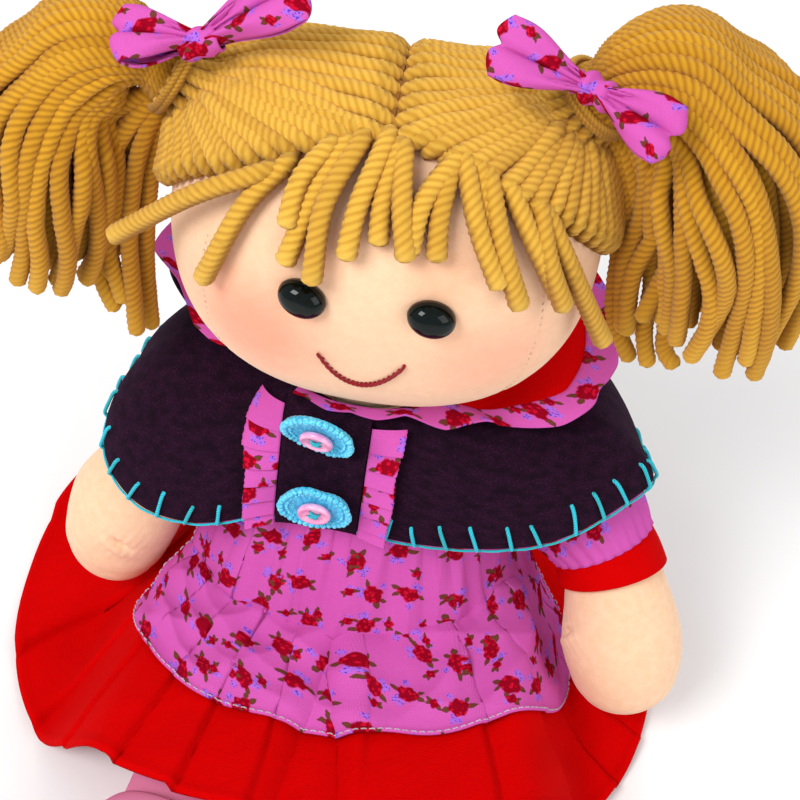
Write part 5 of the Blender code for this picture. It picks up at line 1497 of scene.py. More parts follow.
def skirt_folds(turns, shares):
    """The height of the folds: a row of gathers that grow into fewer, deeper folds towards the hem."""
    drift = turns + 0.05 * np.sin(3 * turns + 1.0) + 0.03 * np.sin(7 * turns)
    gathers = 0.5 - 0.5 * np.cos(54 * drift + 1.2 * np.sin(5 * turns))
    phase = 23 * turns / (2 * pi) + 0.7 * np.sin(3 * turns + 0.6) + 0.25 * np.sin(shares * 2.2 + 2 * turns)
    own = phase % 1
    knife = np.where(own < 0.93, own / 0.93, (1 - own) / 0.07)
    size = 0.45 + 0.55 * np.abs(np.sin((np.floor(phase) % 23) * 2.4))
    fine = gathers * 1.5 * MM * (1 - ease((shares - 0.06) / 0.32)) * ease(shares / 0.02)
    return fine + (knife * size * 4.6 + 0.5) * MM * np.sqrt(shares)


def skirt_surface(turns, shares, pleat=1.0):
    turns, shares = np.broadcast_arrays(turns, shares)
    waist_height = waist_side + (waist_front - waist_side) * np.sin(turns) ** 2
    table = np.array(torso_shares)
    at = waist_height / torso_height
    spread = seam_gap * 3 + cotton
    waist = egg_radius(turns, torso_width / 2 * np.interp(at, table[:, 0], table[:, 1]) + spread,
                       torso_depth / 2 * np.interp(at, table[:, 0], table[:, 2]) + spread, torso_squareness)
    hem = egg_radius(turns, hem_width / 2, hem_depth / 2, hem_squareness)
    reach = waist + (hem - waist) * shares
    x = reach * np.cos(turns)
    y = reach * np.sin(turns) - belly_forward - (hem_forward - belly_forward) * shares
    z = waist_height * (1 - shares) ** skirt_fall
    lap = np.zeros_like(z)
    for side in (1, -1):
        root = (side * hip_spacing / 2, -hip_forward)
        ahead = (side * sin(leg_splay), -cos(leg_splay))
        away = np.abs((x - root[0]) * ahead[1] - (y - root[1]) * ahead[0]) - foot_width / 2
        along = (x - root[0]) * ahead[0] + (y - root[1]) * ahead[1]
        hump = (leg_diameter + lap_clearance) * (1
                                                 - ease(away / lap_slope)) * ease((along + leg_diameter)
                                                         / leg_diameter)
        lap = np.maximum(lap, hump)
    between = ease(1 - np.abs(x) / (hip_spacing / 2 + leg_diameter)) * ease((-y - hip_forward) / hip_forward)
    lap = np.maximum(lap, leg_diameter * 0.93 * between)
    soft = leg_diameter / 6
    blend = np.clip(0.5 + (z - lap) / (2 * soft), 0, 1)
    z = np.maximum(lap + (z - lap) * blend + soft * blend * (1 - blend) * 0.5, lap)
    fold = skirt_folds(turns, shares)
    z = z + fold + (4.6 * MM * np.sqrt(shares) - fold) * (1 - pleat) * ease(shares / 0.1)
    return np.stack([x, y, z], axis=-1)


def away_from_doll(grid):
    away = grid - np.array([0, -hem_forward / 2, 0])
    away[..., 2] = np.linalg.norm(away[..., :2], axis=-1)
    return away


# %% The skirt and its hem
skirt_turns = full_turn(640)
skirt_shares = np.concatenate([np.linspace(0, 0.1, 9)[:-1], np.linspace(0.1, 1, 41)])
skirt_grid = skirt_surface(skirt_turns[None], skirt_shares[:, None])
creases = waves(skirt_grid[..., 0] / MM * 0.09 + skirt_shares[:, None] * 9, 8, 4, 0.5, 1.6) * waves(
    skirt_grid[..., 1] / MM * 0.08 - skirt_shares[:, None] * 5, 9, 4, 0.5, 1.5)
skirt_up = grid_normals(skirt_grid, away_from_doll(skirt_grid), wrap=True)
crease_height = 0.45 * MM * creases * ease(skirt_shares * 4)[:, None]
hem_roll = 0.9 * MM * np.exp(-((skirt_shares - 0.985) / 0.012) ** 2)[:, None]
skirt_low = skirt_grid + skirt_up * np.clip(crease_height, -0.2 * MM, None)[..., None]
skirt_low[..., 2] = np.maximum(skirt_low[..., 2], 0)
skirt_top = skirt_low + skirt_up * (0.8 * MM + hem_roll)[..., None]
skirt = set_out(cloth("red_skirt", skirt_low, skirt_top, wrap=True), "torso", red_cotton, "red_cotton",
                "skirt")
declare_cloth(skirt, skirt_grid, wrap=True)
print("skirt", piece_faces["red_skirt"])

# %% The overskirt
apron_length, apron_corner, apron_first, apron_last = 0.65, 0.45, radians(-60), radians(90)
apron_turns = -pi / 2 + np.linspace(apron_first, apron_last, 261)
side_share = np.abs(np.linspace(-1, 1, 261))
apron_lengths = apron_length - (apron_length - apron_corner) * side_share ** 5
apron_lengths = apron_lengths + 0.010 * np.sin(np.linspace(0, 11 * pi, 261)) * (1 - side_share)
down = np.linspace(0.0, 1, 84)[:, None]
wider = -pi / 2 + (apron_turns + pi / 2) * (1.20 - 0.20 * down)
under = skirt_surface(wider, down * apron_lengths[None], pleat=0.3)
calm = (ease((1 - side_share) / 0.14) * ease((1 - down) / 0.16)) * 0.75 + 0.25
apron_up = grid_normals(under, away_from_doll(under))
flat_x, flat_y = apron_turns[None] * 60 + 0 * down, down * 70 + 0 * apron_turns[None]
tucks = np.abs(np.sin(apron_turns[None] * 19 + 1.4 * np.sin(down * 3.0)
                      + 0.8 * np.sin(apron_turns[None] * 7)))
rumple = (1 - np.abs(waves(flat_x * 0.15 + flat_y * 0.11, 12, 4, 0.6, 1.6))) + (
    1 - np.abs(waves(flat_y * 0.15 - flat_x * 0.09, 13, 4, 0.6, 1.6)))
long_folds = (0.5 + 0.5 * np.cos(apron_turns[None] * 12
                                 + 1.6 * np.sin(down * 2.2 + apron_turns[None] * 2))) ** 3
lift = (1.9 + 1.5 * (1 - tucks) * (1 - ease(down * 2.0))
        + 2.4 * long_folds * ease(down * 4) * (1 - 0.5 * down) * calm
        + 1.6 * rumple * ease(down * 3) * calm) * MM
edge = 0.5 * MM * np.exp(-((down - 0.985) / 0.012) ** 2)
apron_low = under + apron_up * lift[..., None]
apron_top = apron_low + apron_up * (0.6 * MM + edge)[..., None]
apron_flat = flat_map_of(skirt_surface(wider, down * apron_lengths[None], pleat=0.0))
apron = set_out(cloth("print_overskirt", apron_low, apron_top, flat=apron_flat), "torso", printed_cotton,
                "floral_cotton", "apron")
declare_cloth(apron, apron_low)

# %% The topstitching of the overskirt
edge_row = np.concatenate([apron_top[10:-1, 1], apron_top[-2, 2:-2], apron_top[10:-1, -2][::-1]])
edge_up = np.concatenate([apron_up[10:-1, 1], apron_up[-2, 2:-2], apron_up[10:-1, -2][::-1]])
gone = travelled(edge_row)
lines = []
for start in np.arange(1 * MM, gone[-1] - 3 * MM, 2.6 * MM):
    at = start + np.linspace(0, 1.9 * MM, 5)
    points = points_at(at, gone, edge_row)
    ups = points_at(at, gone, edge_up)
    points = points + ups * (np.array([-0.25, 0.15, 0.2, 0.15, -0.25]) * MM)[:, None]
    lines.append((points, [1.0] * 5))
topstitch = strands("overskirt_topstitch", lines, white_thread, 0.55 * MM, 0.9 * MM, 0.3 * MM, plies=2,
                    groove=0.15)
set_out(topstitch, "torso", None, "floral_cotton")
print("overskirt", piece_faces["print_overskirt"], "with", len(lines), "stitches")

# %% The bodice
bodice_heights = np.linspace(68, 107.5, 30) * MM
inner = np.array([torso_ring(z, 0.7 * MM, 240) for z in bodice_heights])
turns = full_turn(240)
ripple = 0.35 * MM * (np.abs(np.sin(turns * 22))[None]
                      * (1 - ease((bodice_heights - 74 * MM) / (16 * MM)))[:, None])
outer = np.array([torso_ring(z, 1.5 * MM, 240) for z in bodice_heights])
outer[..., :2] += unit(outer[..., :2]) * ripple[..., None]
bodice = set_out(cloth("print_bodice", inner, outer, wrap=True), "torso", printed_cotton, "floral_cotton",
                 "bodice")
declare_cloth(bodice, outer, wrap=True)

# %% Sleeves and bands
sleeve_end, cuff_share = 0.44, 0.09
sleeve_puff = {"left": 4.2, "right": 1.6}
shoulder_room = {"left": (116 * MM, 74 * MM), "right": (110.5 * MM, 55 * MM)}
for side, word in sides:
    line = arm_line(side, word, 160)
    ahead = tangents_of(line)
    own = np.linspace(0, 1, len(line))
    half = arm_half(own)
    layers = []
    share = np.linspace(-0.1, sleeve_end + 0.015, 46)
    index = np.clip(share, 0, 1)
    centres = points_at(index, own, line)
    aheads = unit(points_at(index, own, ahead))
    centres = centres + aheads * (np.minimum(share, 0) * 0.14)[:, None]
    wide = np.interp(index, own, half)
    turns = full_turn(144)
    to_cuff = (share / sleeve_end).clip(0, 1)
    puff = 1.2 * MM + sleeve_puff[word] * MM * np.sin(to_cuff * pi) ** 0.8
    gather = 0.9 * MM * np.abs(np.sin(turns * 13 + 0.7 * np.sin(turns * 3)))[None] * (
        ease((to_cuff - 0.55) / 0.4) + ease((0.25 - to_cuff) / 0.25))[:, None]
    gather = gather + 0.5 * MM * waves(turns * 3, 40 + side, 3, 1.0, 3.0)[None] * np.sin(to_cuff * pi)[:,
            None]
    for spread in (0.0, 0.8 * MM):
        halves = wide + puff + spread
        rings = tube_rings(centres, halves, halves, np.array([0, -1, 0.2]), 144, aheads)
        rings = rings + unit(rings - centres[:, None]) * gather[..., None]
        keep = bodice_side + seam_gap * 2
        rings[..., 0] = np.where(rings[..., 0] * side < keep, keep * side, rings[..., 0])
        highest, starts = shoulder_room[word]
        cover = highest + spread - 1.15 * np.maximum(rings[..., 0] * side - starts, 0)
        sunk = np.maximum(rings[..., 2] - cover, 0) * ease((0.75 - to_cuff) / 0.3)[:, None]
        rings[..., 2] -= sunk
        layers.append(rings)
    sleeve = cloth("puff_sleeve_" + word, layers[0], layers[1], wrap=True)
    set_out(sleeve, "arm_" + word, printed_cotton, "floral_cotton", "sleeve_" + word)
    declare_cloth(sleeve, layers[0], wrap=True)

    share = np.linspace(sleeve_end + 0.012, sleeve_end + 0.012 + cuff_share, 16)
    centres = points_at(share, own, line)
    aheads = unit(points_at(share, own, ahead))
    wide = np.interp(share, own, half)
    layers = []
    for spread, shape in ((0.5 * MM, 0.0), (1.9 * MM, 1.0)):
        swell = 0.35 * MM * np.sin(np.linspace(0, pi, 16)) * shape
        rings = tube_rings(centres, wide + spread + swell, wide + spread + swell, np.array([0, -1, 0.2]),
                           96, aheads)
        layers.append(rings)
    cuff = cloth("red_band_" + word, layers[0], layers[1], wrap=True)
    set_out(cuff, "arm_" + word, red_cotton, "red_cotton", "cuff_" + word)
    declare_cloth(cuff, layers[0], wrap=True)
print("sleeve", piece_faces["puff_sleeve_left"], "band", piece_faces["red_band_left"])

# %% [markdown]
# ## The cape
# The cape is a flat piece of dark felt in two halves, cut round, so it stands off the shoulders and ends in a
# soft edge with no hem. Its shape is a rule again: how far the edge is from the neck, and how far it has
# dropped, at each turn round the neck. The wide parts lie on the arms. Each half rides on no body. The edge
# is bound by hand in blanket stitch, with short legs of turquoise floss that point inwards and a thread that
# runs along the edge.

# %% The cape as a surface
cape_neck_width, cape_neck_depth, cape_neck_front = 54 * MM, 50 * MM, 28 * MM
cape_neck_height = torso_height - 0.8 * MM
cape_front_rise, cape_width, cape_drop = 3.8 * MM, 184 * MM, 54 * MM
cape_opening = -9.6 * MM
felt_cloth = 2.0 * MM
cape_hem = (
    (-180, 0.81, 0.56), (-171, 0.87, 0.59), (-163, 0.895, 0.66), (-149, 0.83, 0.75), (-137, 0.71, 0.73),
    (-122, 0.56, 0.61), (-102, 0.49, 0.57), (-72, 0.51, 0.62), (-53, 0.63, 0.59), (-35, 0.81, 0.49),
    (-21, 0.94, 0.36), (-12, 1.00, 0.42), (-3, 0.99, 0.66), (10, 0.96, 0.82), (25, 0.92, 0.90),
    (60, 0.66, 0.84),
    (90, 0.60, 0.82), (120, 0.66, 0.84), (155, 0.77, 0.76), (168, 0.79, 0.62), (180, 0.81, 0.56),
)
hem_reaches = [(turn, reach) for turn, reach, _ in cape_hem]
hem_drops = [(turn, drop) for turn, _, drop in cape_hem]
side_fall = ((0, 0), (0.25, -0.01), (0.45, 0.02), (0.66, 0.18), (0.84, 0.46), (0.94, 0.72), (1, 1))
front_reach = ((0, 0), (0.2, 0.30), (0.4, 0.58), (0.6, 0.78), (0.8, 0.92), (1, 1))
front_fall = ((0, 0), (0.2, 0.06), (0.4, 0.24), (0.6, 0.48), (0.8, 0.74), (1, 1))


def cape_surface(turn, share):
    """A place on the cape's inner side: turn in degrees round the neck, share from the neck to the edge."""
    turn, share = np.broadcast_arrays(np.asarray(turn, float), np.asarray(share, float))
    turn = (turn + 180) % 360 - 180
    hem = soft_table(turn, hem_reaches) * cape_width / 2
    hem_height = cape_neck_height - soft_table(turn, hem_drops) * cape_drop
    bearing = np.radians(turn)
    front = ease((-np.sin(bearing) - 0.45) / 0.4)
    neck = egg_radius(bearing, cape_neck_width / 2, cape_neck_depth / 2, 2.0)
    neck = neck + (cape_neck_front - neck) * front
    top = cape_neck_height + cape_front_rise * front
    reach = neck + (hem - neck) * (share + (soft_table(share, front_reach) - share) * front)
    sideways = np.abs(np.cos(bearing)) ** 1.4
    plain = share + (soft_table(share, side_fall) - share) * sideways
    fall = plain + (soft_table(share, front_fall) - plain) * front
    height = top + (hem_height - top) * fall
    return np.stack([reach * np.cos(bearing), reach * np.sin(bearing), height], axis=-1)


def cape_drape(turn, share=1.0):
    """How far soft folds lift the cape: turn in degrees, share from the neck to the edge."""
    folds = np.clip(0.5 + 0.5 * waves(np.radians(turn) * 7 + share * 2, 77, 3, 0.6, 1.5), 0, 2)
    return 0.9 * MM * folds * share ** 2


def cape_frame(turn, share):
    """A place on the cape and the way out of the felt there."""
    here = np.minimum(share + 0.01, 1.0)
    down = cape_surface(turn, here) - cape_surface(turn, here - 0.02)
    aside = cape_surface(turn + 0.5, share) - cape_surface(turn - 0.5, share)
    return cape_surface(turn, share), unit(np.cross(down, aside))


def opening_turn(share):
    """The turn of the front opening, which runs straight down a little to the doll's right."""
    return -90 + np.degrees(np.arctan2(cape_opening, -cape_surface(-90.0, share)[..., 1]))


# %% The two halves of the cape
rim_shares = np.array([0.978, 0.987, 0.994, 1.0])
cape_shares = np.concatenate([np.linspace(0, 0.965, 48), rim_shares])[:, None]
rim_thickness = np.concatenate([np.ones(48), np.sqrt(1 - ((rim_shares - 0.965) / 0.0365) ** 2)])[:, None]
opening_seam = degrees(0.6 * MM / cape_neck_depth)
cape_turns = {}
for side, word in sides:
    first = opening_turn(cape_shares) + side * opening_seam
    last = 90 - opening_seam if side > 0 else opening_seam - 270
    turn = first + (last - first) * np.linspace(0, 1, 170)[None] ** 0.9
    cape_turns[word] = turn[-1]
    place, out_way = cape_frame(turn, cape_shares)
    drape = cape_drape(turn, cape_shares)
    low = place + out_way * (drape + (1 - rim_thickness) * felt_cloth / 2)[..., None]
    high = place + out_way * (drape + (1 + rim_thickness) * felt_cloth / 2)[..., None]
    cape = set_out(cloth("felt_cape_" + word, low, high), None, dark_felt, "felt", "cape_" + word)
    declare_cloth(cape, place)
    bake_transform(cape)
print("cape", piece_faces["felt_cape_left"])

# %% The blanket stitch
stitch_pitch, floss_width = 9.4 * MM, 1.3 * MM
for side, word in sides:
    turn = np.interp(np.linspace(0, 1, 700), np.linspace(0, 1, 170), cape_turns[word])
    edge, edge_out = cape_frame(turn, np.ones(700))
    beyond = unit(edge - cape_surface(turn, 0.98))
    gone = travelled(edge)
    chance = np.random.default_rng(11 + side)
    places = np.arange(3 * MM, gone[-1] - 2 * MM, stitch_pitch)
    places = places + chance.uniform(-0.9, 0.9, len(places)) * MM
    lines = []
    for at in places:
        here = np.interp(at, gone, turn)
        per_share = np.linalg.norm(cape_surface(here, 1.0) - cape_surface(here, 0.9)) / 0.1
        leg = chance.uniform(6.4, 9.4) * MM
        lean = chance.uniform(-0.28, 0.28)
        slip = np.interp(at + lean * leg, gone, turn) - here
        steps = np.array([1.0, 0.985, 0.9, 0.65, 0.4, 0.15, 0.0, -0.04])
        height = np.array([1.1, 2.2, 2.75, 2.8, 2.8, 2.75, 2.3, 1.2]) * MM
        reach = 1 - leg * (1 - steps) / per_share
        slant = here + slip * (1 - steps)
        points, out_way = cape_frame(slant, reach)
        points = points + out_way * (height + cape_drape(slant, reach))[:, None]
        points[0] += unit(cape_surface(here, 1.0) - cape_surface(here, 0.98)) * 0.7 * MM
        lines.append((smooth_line(points, 20), [1.0] * 20))
    drape = cape_drape(turn)
    bow_out = 0.35 * MM * np.abs(np.sin((gone - places[0]) / stitch_pitch * pi))
    line = edge + edge_out * (drape + 1.3 * MM)[:, None] + beyond * (0.55 * MM + bow_out)[:, None]
    run = (gone > places[0]) & (gone < places[-1])
    lines.append((line[run][::3], [0.65] * len(line[run][::3])))
    stitches = strands("blanket_stitch_" + word, lines, turquoise_thread, floss_width, 2.6 * MM, 0.45 * MM,
                       plies=3,
                       groove=0.12)
    set_out(stitches, None, None, "thread")
    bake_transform(stitches)
    print("blanket stitch", word, len(places), "legs")

# %% [markdown]
# ## The placket and its frills
# A strip of the same felt covers the opening, and on each side of it a strip of the print is pleated in
# flat folds that lie over each other like shingles. The frill is a grid again: its rows go down the front,
# and they bunch and lift in turn, more at the free edge than at the seam. Its free edge was cut with
# pinking shears, so it has small teeth.


# %% Strips down the front
def strip_on_cape(shares, widths, lift):
    """Places down the front of the cape: widths on it from the opening, lift above its inner side."""
    shares, widths = np.broadcast_arrays(shares, widths)
    sweep = opening_turn(shares[:, :1]) + np.linspace(-50, 50, 201)
    fan = cape_surface(sweep, np.broadcast_to(shares[:, :1], sweep.shape))
    gone = travelled(fan, 1)
    turn = np.array([np.interp(wide, far - far[100], way) for wide, far, way in zip(widths, gone, sweep)])
    place, out_way = cape_frame(turn, shares)
    return place + out_way * np.asarray(lift)[..., None]


placket_half, placket_low = 12.5 * MM, 2.9 * MM
rows = np.linspace(0.08, 1, 60)[:, None]
widths = placket_half * np.sin(np.linspace(-1, 1, 41) * pi / 2)[None]
edge = np.minimum(placket_half - np.abs(widths), (1 - rows) * 40 * MM) / MM
round_edge = np.sqrt(1 - np.clip(1 - edge / 1.0, 0, 1) ** 2 * 0.9)
sag = 0.35 * MM * waves(rows * 9 + widths / MM * 0.12, 66, 3, 0.6, 1.6)
low = strip_on_cape(rows, widths, placket_low - 0.3 * MM + (1 - round_edge) * felt_cloth / 2)
high = strip_on_cape(rows, widths, placket_low + felt_cloth / 2 + round_edge * felt_cloth / 2
                     + sag * round_edge)
placket = set_out(cloth("felt_placket", low, high), "torso", dark_felt, "felt", "placket")
declare_cloth(placket, low)

frill_width, frill_pleats = 9.5 * MM, 7
for side, word in sides:
    steps = np.linspace(0, frill_pleats - 1e-6, frill_pleats * 34)[:, None]
    own = steps % 1
    t = np.linspace(0, 1, 15)[None]
    run = np.where(own < 0.7, 1.32 * ease(own / 0.7) ** 0.9, 1.32 - 0.32 * ease((own - 0.7) / 0.3))
    rows = 0.2 + 0.78 * (np.floor(steps) + run) / frill_pleats + 0 * t
    free = 0.55 + 0.45 * t ** 0.8
    teeth = 0.3 * MM * np.abs((steps * 9) % 1 - 0.5) * 2 * (t == 1)
    height = np.where(own < 0.7, 0.6 + 1.9 * ease(own / 0.7), 2.5 - 1.9 * ease((own - 0.7) / 0.3)) * MM * free
    height = placket_low + 0.5 * MM + height + 0.5 * MM * t
    widths = side * (placket_half + 0.3 * MM + frill_width * t + teeth
                     + 0.4 * MM * np.sin(steps * 1.7 + side) * t)
    low = strip_on_cape(rows, widths, height - 0.2 * MM)
    high = strip_on_cape(rows, widths, height + 0.4 * MM)
    frill = set_out(cloth("placket_frill_" + word, low, high, even=True), "torso", printed_cotton,
                    "floral_cotton", "ruffle_" + word)
    declare_cloth(frill, low)
print("placket", piece_faces["felt_placket"], "frill", piece_faces["placket_frill_left"])

# %% [markdown]
# ## Rosettes and buttons
# Two medallions of turquoise satin are sewn on the placket, each with a rim of small woven beads, and a
# pink four-hole button on top. A rosette is a shallow dish: rings from its back to its front, with fine
# pleats that run outwards. The beads repeat, so a Geometry Nodes tree sets one small ball on each of many
# points of a rim. The buttons are turned from a profile, and their holes are cut with Boolean modifiers
# that are applied at once.


# %% The tree that sets beads on a rim
beading, given, out = shared_group("beads_on_rim", [
    ("Rim", "Geometry", None), ("Size", "Float", 0.9 * MM), ("Count", "Int", 32), ("Seed", "Int", 3),
    ("Finish", "Material", None),
], [("Mesh", "Geometry")], "GeometryNode")
points = beading.add("CurveToPoints", 0, {"mode": "COUNT"}, Curve=given["Rim"], Count=given["Count"])
ball = beading.add("MeshIcoSphere", Subdivisions=2, Radius=given["Size"])
chance = beading.node("FunctionNodeRandomValue", {"data_type": "FLOAT"}, Min=0.82, Max=1.12,
                      Seed=given["Seed"])
spread = beading.add("InstanceOnPoints", Points=points, Instance=ball, Scale=chance.outputs[1])
beading.put(out["Mesh"], beading.painted(spread, given["Finish"]))


def beads(name, rim, size, count, seed, paint):
    """A closed row of beads along a rim of points."""
    line = [(rim, np.ones(len(rim)))]
    return grown(name, line, beading.tree, cyclic=True, Size=size, Count=count, Seed=seed, Finish=paint)


# %% The rosettes
rosette_half, rosette_seat = 10.5 * MM, 1.2 * MM
rosette_droop = {"top": -0.30, "bottom": -0.12}
rosette_shares = {"top": 0.25, "bottom": 0.72}


def rosette_frame(word):
    """The middle of a rosette's back and its way out: it hangs steeper than the placket slopes."""
    share = rosette_shares[word]
    place, out_way = cape_frame(opening_turn(share), share)
    level_out = unit(out_way * (1, 1, 0))
    droop = unit(level_out + (0, 0, rosette_droop[word]))
    slope = sqrt(1 - np.dot(droop, out_way) ** 2)
    return place + out_way * (placket_low + felt_cloth + 0.6 * MM + rosette_half * slope
                              - rosette_seat), droop


circle_turns = full_turn(160)
for number, word in enumerate(rosette_shares):
    centre, droop = rosette_frame(word)
    across, top = ring_frame(droop, np.array([0, 0, 1.0]))
    notch = 0.10 * np.exp(-((circle_turns - pi / 2 - 0.2 * number) / 0.30) ** 2) * (1 if word == "bottom"
            else 0.3)
    uneven = 1 + 0.025 * np.sin(2 * circle_turns + number) + 0.015 * np.sin(5 * circle_turns + 2 * number)
    rings = []
    for reach, level_up, pleat in ((0.5, 0.1, 0), (0.93, 0.2, 0), (0.99, 1.0, 0.1), (0.95, 1.9, 0.25),
                                   (0.84, 1.95, 0.3),
                                   (0.7, 1.7, 0.28), (0.56, 1.6, 0.22), (0.42, 1.6, 0.12), (0.2, 1.6, 0.0)):
        ring_reach = rosette_half * reach * uneven * (1 - notch * reach ** 3) * (
            1 + 0.012 * np.cos(32 * circle_turns) * (reach > 0.9))
        level = level_up + 0.5 * pleat * np.sin(26 * circle_turns + 0.9 * np.sin(3 * circle_turns)) + (
            0.5 * reach ** 2 * np.sin(2 * circle_turns + 1.0 + number) * (level_up > 0.5))
        rings.append(centre + across * (np.cos(circle_turns) * ring_reach)[:, None]
                     + top * (np.sin(circle_turns) * ring_reach)[:, None] + droop * (level * MM)[:, None])
    dish = rings_closed("rosette_dish_" + word, rings)
    dish.data.materials.append(satin)
    rim = rings[3] + droop * 0.15 * MM
    picot = beads("rosette_beads_" + word, rim, 1.05 * MM, 34, 3 + number, satin_beads)
    inner = beads("rosette_inner_" + word, rings[4] * 0.6 + rings[5] * 0.4 + droop * 0.1 * MM, 0.5 * MM,
                  46, 5, satin_beads)
    rosette = join_pieces("satin_rosette_" + word, [dish, picot, inner])
    set_out(rosette, "torso", None, "satin", "rosette_" + word)
print("rosette", piece_faces["satin_rosette_top"])

# %% The buttons and their thread
button_half, button_thickness, button_rim, button_dish = 5 * MM, 2.4 * MM, 1.4 * MM, 0.6 * MM
hole_half, hole_spacing = 0.65 * MM, 2.6 * MM
for number, word in enumerate(rosette_shares):
    centre, droop = rosette_frame(word)
    centre = centre + droop * 2.15 * MM
    across, top = ring_frame(droop, np.array([0, 0, 1.0]))
    button_turns = full_turn(96)
    circle = np.cos(button_turns)[:, None] * across + np.sin(button_turns)[:, None] * top
    profile = [(0.5, 0.0), (0.82, 0.02), (0.93, 0.18), (1.0, 0.5), (0.985, 0.75), (0.93, 0.92),
               (0.86, 0.98), (0.79, 0.96)]
    profile += [(0.72, 0.86), (0.66, 0.77), (0.6, 0.75), (0.45, 0.75), (0.2, 0.75)]
    rings = [centre + droop * button_thickness * high + circle * button_half * wide for wide, high in profile]
    button = rings_closed("turned_button_" + word, rings)
    cutters = []
    corners = []
    for k in range(4):
        spoke = across * cos(pi / 4 + k * pi / 2 + 0.3 * number) + top * sin(pi / 4 + k * pi / 2
                + 0.3 * number)
        corner = centre + spoke * hole_spacing / sqrt(2)
        corners.append(corner)
        hole_turns = full_turn(24)
        ring = np.cos(hole_turns)[:, None] * across * hole_half + np.sin(hole_turns)[:,
                None] * top * hole_half
        drill = rings_closed("drill_%s_%d" % (word, k),
                             [corner + ring + droop * h for h in (-2 * MM, 1 * MM, 5 * MM)])
        cut = button.modifiers.new("hole", "BOOLEAN")
        cut.object = drill
        cutters.append(drill)
    button = evaluated(button, "pink_button_" + word)
    for drill in cutters:
        bpy.data.objects.remove(drill)
    button.data.materials.clear()
    set_out(button, "torso", button_gloss, "button_plastic", "button_" + word)
    lines = []
    surface = button_thickness * 0.75
    for a, b in ((0, 2), (1, 3), (0, 1)):
        for shift in (-0.22, 0.22):
            way = unit(corners[b] - corners[a])
            sideways = np.cross(way, droop) * shift * MM
            ends = [(corners[a] - droop * 0.2 * MM, -0.1), (corners[a] + way * 0.25 * MM, 0.95),
                    ((corners[a] + corners[b]) / 2, 1.18), (corners[b] - way * 0.25 * MM, 0.95),
                    (corners[b] - droop * 0.2 * MM, -0.1)]
            path = np.array([spot + sideways + droop * (surface * share + (0.35 * MM if share > 0 else 0))
                             for spot, share in ends])
            lines.append((smooth_line(path, 16), [1.0] * 16))
    thread = strands("button_thread_" + word, lines, turquoise_thread, 0.55 * MM, 1.2 * MM, 0.25 * MM,
                     plies=2,
                     groove=0.12)
    set_out(thread, "torso", None, "thread")
print("button", piece_faces["pink_button_top"])

# %% [markdown]
# ## The hood
# The hood lies folded back round the neck: dark felt outside, red cotton inside, and a frill of the print
# sewn into the edge. It rests on the shoulders, rises to its rim and narrows to nothing at both front ends,
# where the frill runs on under the chin. The lining is one smooth red sheet with soft folds that run out
# from the neck. The frill zigzags, because it is longer than the edge that it is gathered to.

# %% The hood as a surface
hood_width, hood_depth, hood_back, hood_rise = 130 * MM, 102 * MM, 4 * MM, 8 * MM
hood_first, hood_last, hood_end = radians(-50), radians(200), radians(40)
hood_end_width = 0.25


def hood_surface(turn, share):
    """The hood's lower side: turn round the neck in radians, share from the neck to the rim."""
    turn, share = np.broadcast_arrays(turn, share)
    neck = egg_radius(turn, cape_neck_width / 2, cape_neck_depth / 2, 2.0) + felt_cloth
    rim = egg_radius(turn, hood_width / 2, hood_depth / 2, 2.2)
    opened = ease((turn - hood_first) / (0.75 * hood_end)) * ease((hood_last - turn) / (0.75 * hood_end))
    wide = hood_end_width + (1 - hood_end_width) * opened
    reach = neck + (rim - neck) * share * wide
    rise = hood_rise * ease((share * wide - 0.45) / 0.55)
    base = cape_neck_height + cape_front_rise * ease((-np.sin(turn) - 0.45) / 0.4)
    height = base + felt_cloth + 0.6 * MM + rise
    return np.stack([reach * np.cos(turn), reach * np.sin(turn) + hood_back * share * opened, height],
                    axis=-1)


def hood_up(grid):
    return grid_normals(grid, np.array([0.0, 0.0, 1.0]))


# %% The felt and the lining
hood_turns = np.linspace(hood_first, hood_last, 220)[None]
opened = ease((hood_turns - hood_first) / (0.75 * hood_end)) * ease((hood_last - hood_turns)
        / (0.75 * hood_end))
shares = np.linspace(0, 1, 26)[:, None]
under = hood_surface(hood_turns, shares * (1 - 0.16 * ease((0.15 - hood_turns) / 0.4)))
rim_way = unit(under[-1] - under[-3])
roll_steps = np.linspace(0, 1, 9)[1:]
roll_share = 0.02 + 0.98 * ease((hood_turns[0] + 0.25) / 0.3) * ease((2.3 - hood_turns[0]) / 0.5)
roll = [under[-1] + (rim_way * (8.5 * MM * sin(s * 1.9))
                     + np.array([0, 0, -1.0]) * 5.0 * MM * (1 - cos(s * 1.9)))
        * (opened[0] * roll_share * (0.62 + 0.38 * waves(hood_turns[0] * 5, 3, 3, 0.7, 1.6)).clip(0.2,
                1.2))[:, None]
        for s in roll_steps]
hood_low = np.concatenate([under, np.array(roll)])
up_way = hood_up(hood_low)
hood = cloth("felt_hood", hood_low, hood_low + up_way * 1.7 * MM)
set_out(hood, "torso", dark_felt, "felt", "hood")
declare_cloth(hood, hood_low)

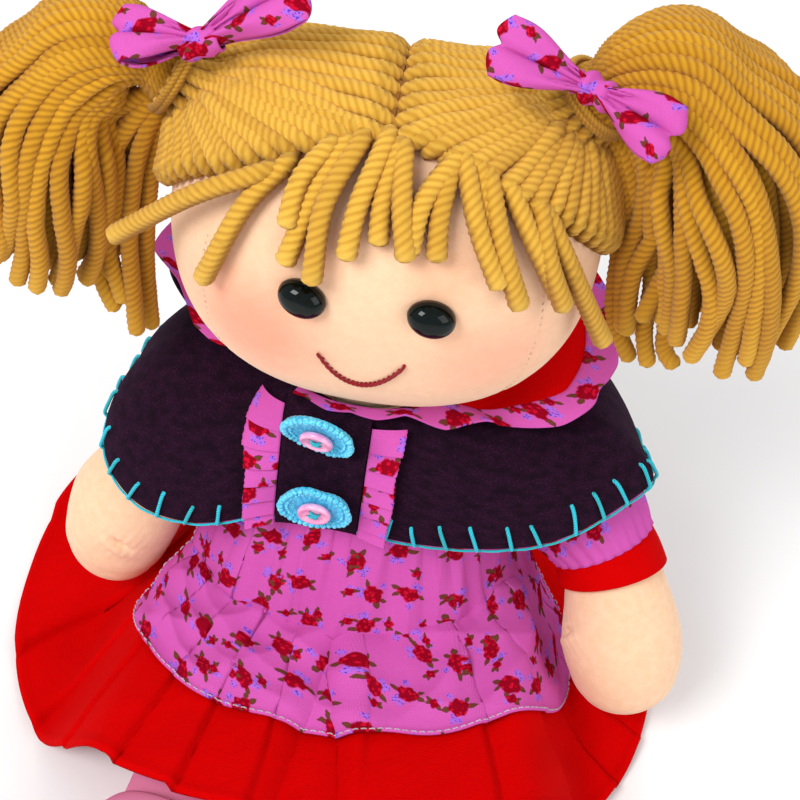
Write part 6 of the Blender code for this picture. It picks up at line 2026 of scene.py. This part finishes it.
lining_base = hood_surface(hood_turns[:, 4:-4], np.linspace(0.0, 0.985, 30)[:, None])
up_way = hood_up(lining_base)
at = np.linspace(0, 1, 30)[:, None]
folds = 0.75 * MM * (0.5 + 0.5 * waves(hood_turns[:, 4:-4] * 9 + at * 1.5, 5, 3, 0.7, 1.8)).clip(0,
        1.6) * np.sin(at * pi) ** 0.6
lining_low = lining_base + up_way * (felt_cloth + 0.2 * MM + folds)[..., None]
lining = cloth("red_hood_lining", lining_low, lining_low + up_way * 0.7 * MM)
# The lining's finish is the red cotton painted lighter against the shade of the hood.
set_out(lining, "torso", lining_red_painted_lighter, "red_cotton", "hood_lining")
declare_cloth(lining, lining_low)

# %% The frill of the hood
frill_turns = np.linspace(radians(-125), hood_last, 860)[None]
rim = hood_surface(frill_turns, np.array([[0.92], [1.0]]))
front = ease((0.5 - frill_turns) / 0.8)
away = unit(unit(rim[1] - rim[0]) * (1, 1, 0) + (0, 0, -0.02) + (0, 0, -0.26) * front[0][:, None])
frill_up = hood_up(rim)[1]
t = np.linspace(0, 1, 13)[:, None]
zig = frill_turns * 14.5 + 0.6 * np.sin(frill_turns * 3.0)
fold = np.arcsin(0.97 * np.sin(zig)) / (pi / 2)
ends = (0.3 + 0.7 * ease((frill_turns + 1.25) / 0.45)) * ease((hood_last - frill_turns) / 0.2 + 0.3)
frill_reach = ((9.8 + 1.6 * front) * MM * t * ends - 1.2 * MM) * (1 - 0.12 * (1 + fold) * t)
frill_height = 2.6 * MM + (2.2 * MM * (1 + fold) * t ** 0.8 + 0.8 * MM * t * np.sin(frill_turns * 5)) * (
    0.15 + 0.85 * ends) * (1 - 0.2 * front)
slide = (1.5 - 1.0 * front) * MM * np.cos(zig) * t
along = unit(np.gradient(rim[1], axis=0))
frill_low = (rim[1][None] + away[None] * frill_reach[..., None] + frill_up[None] * frill_height[..., None]
             + along[None] * slide[..., None])
frill_out = grid_normals(frill_low, np.array([0.0, 0.0, 1.0]))
frill = cloth("hood_frill", frill_low, frill_low + frill_out * 0.6 * MM, even=True)
set_out(frill, "torso", printed_cotton, "floral_cotton", "hood_trim")
declare_cloth(frill, frill_low)
print("hood", piece_faces["felt_hood"], "lining", piece_faces["red_hood_lining"], "frill",
      piece_faces["hood_frill"])

# %% [markdown]
# ## The counts at the end
# The number of triangles in all, and the size that each sheet was cut, are printed.

# %% Sizes and the end
print("triangles in all", sum(piece_faces.values()))
print("cut sizes, mm by mm, cm2", cut_sizes)
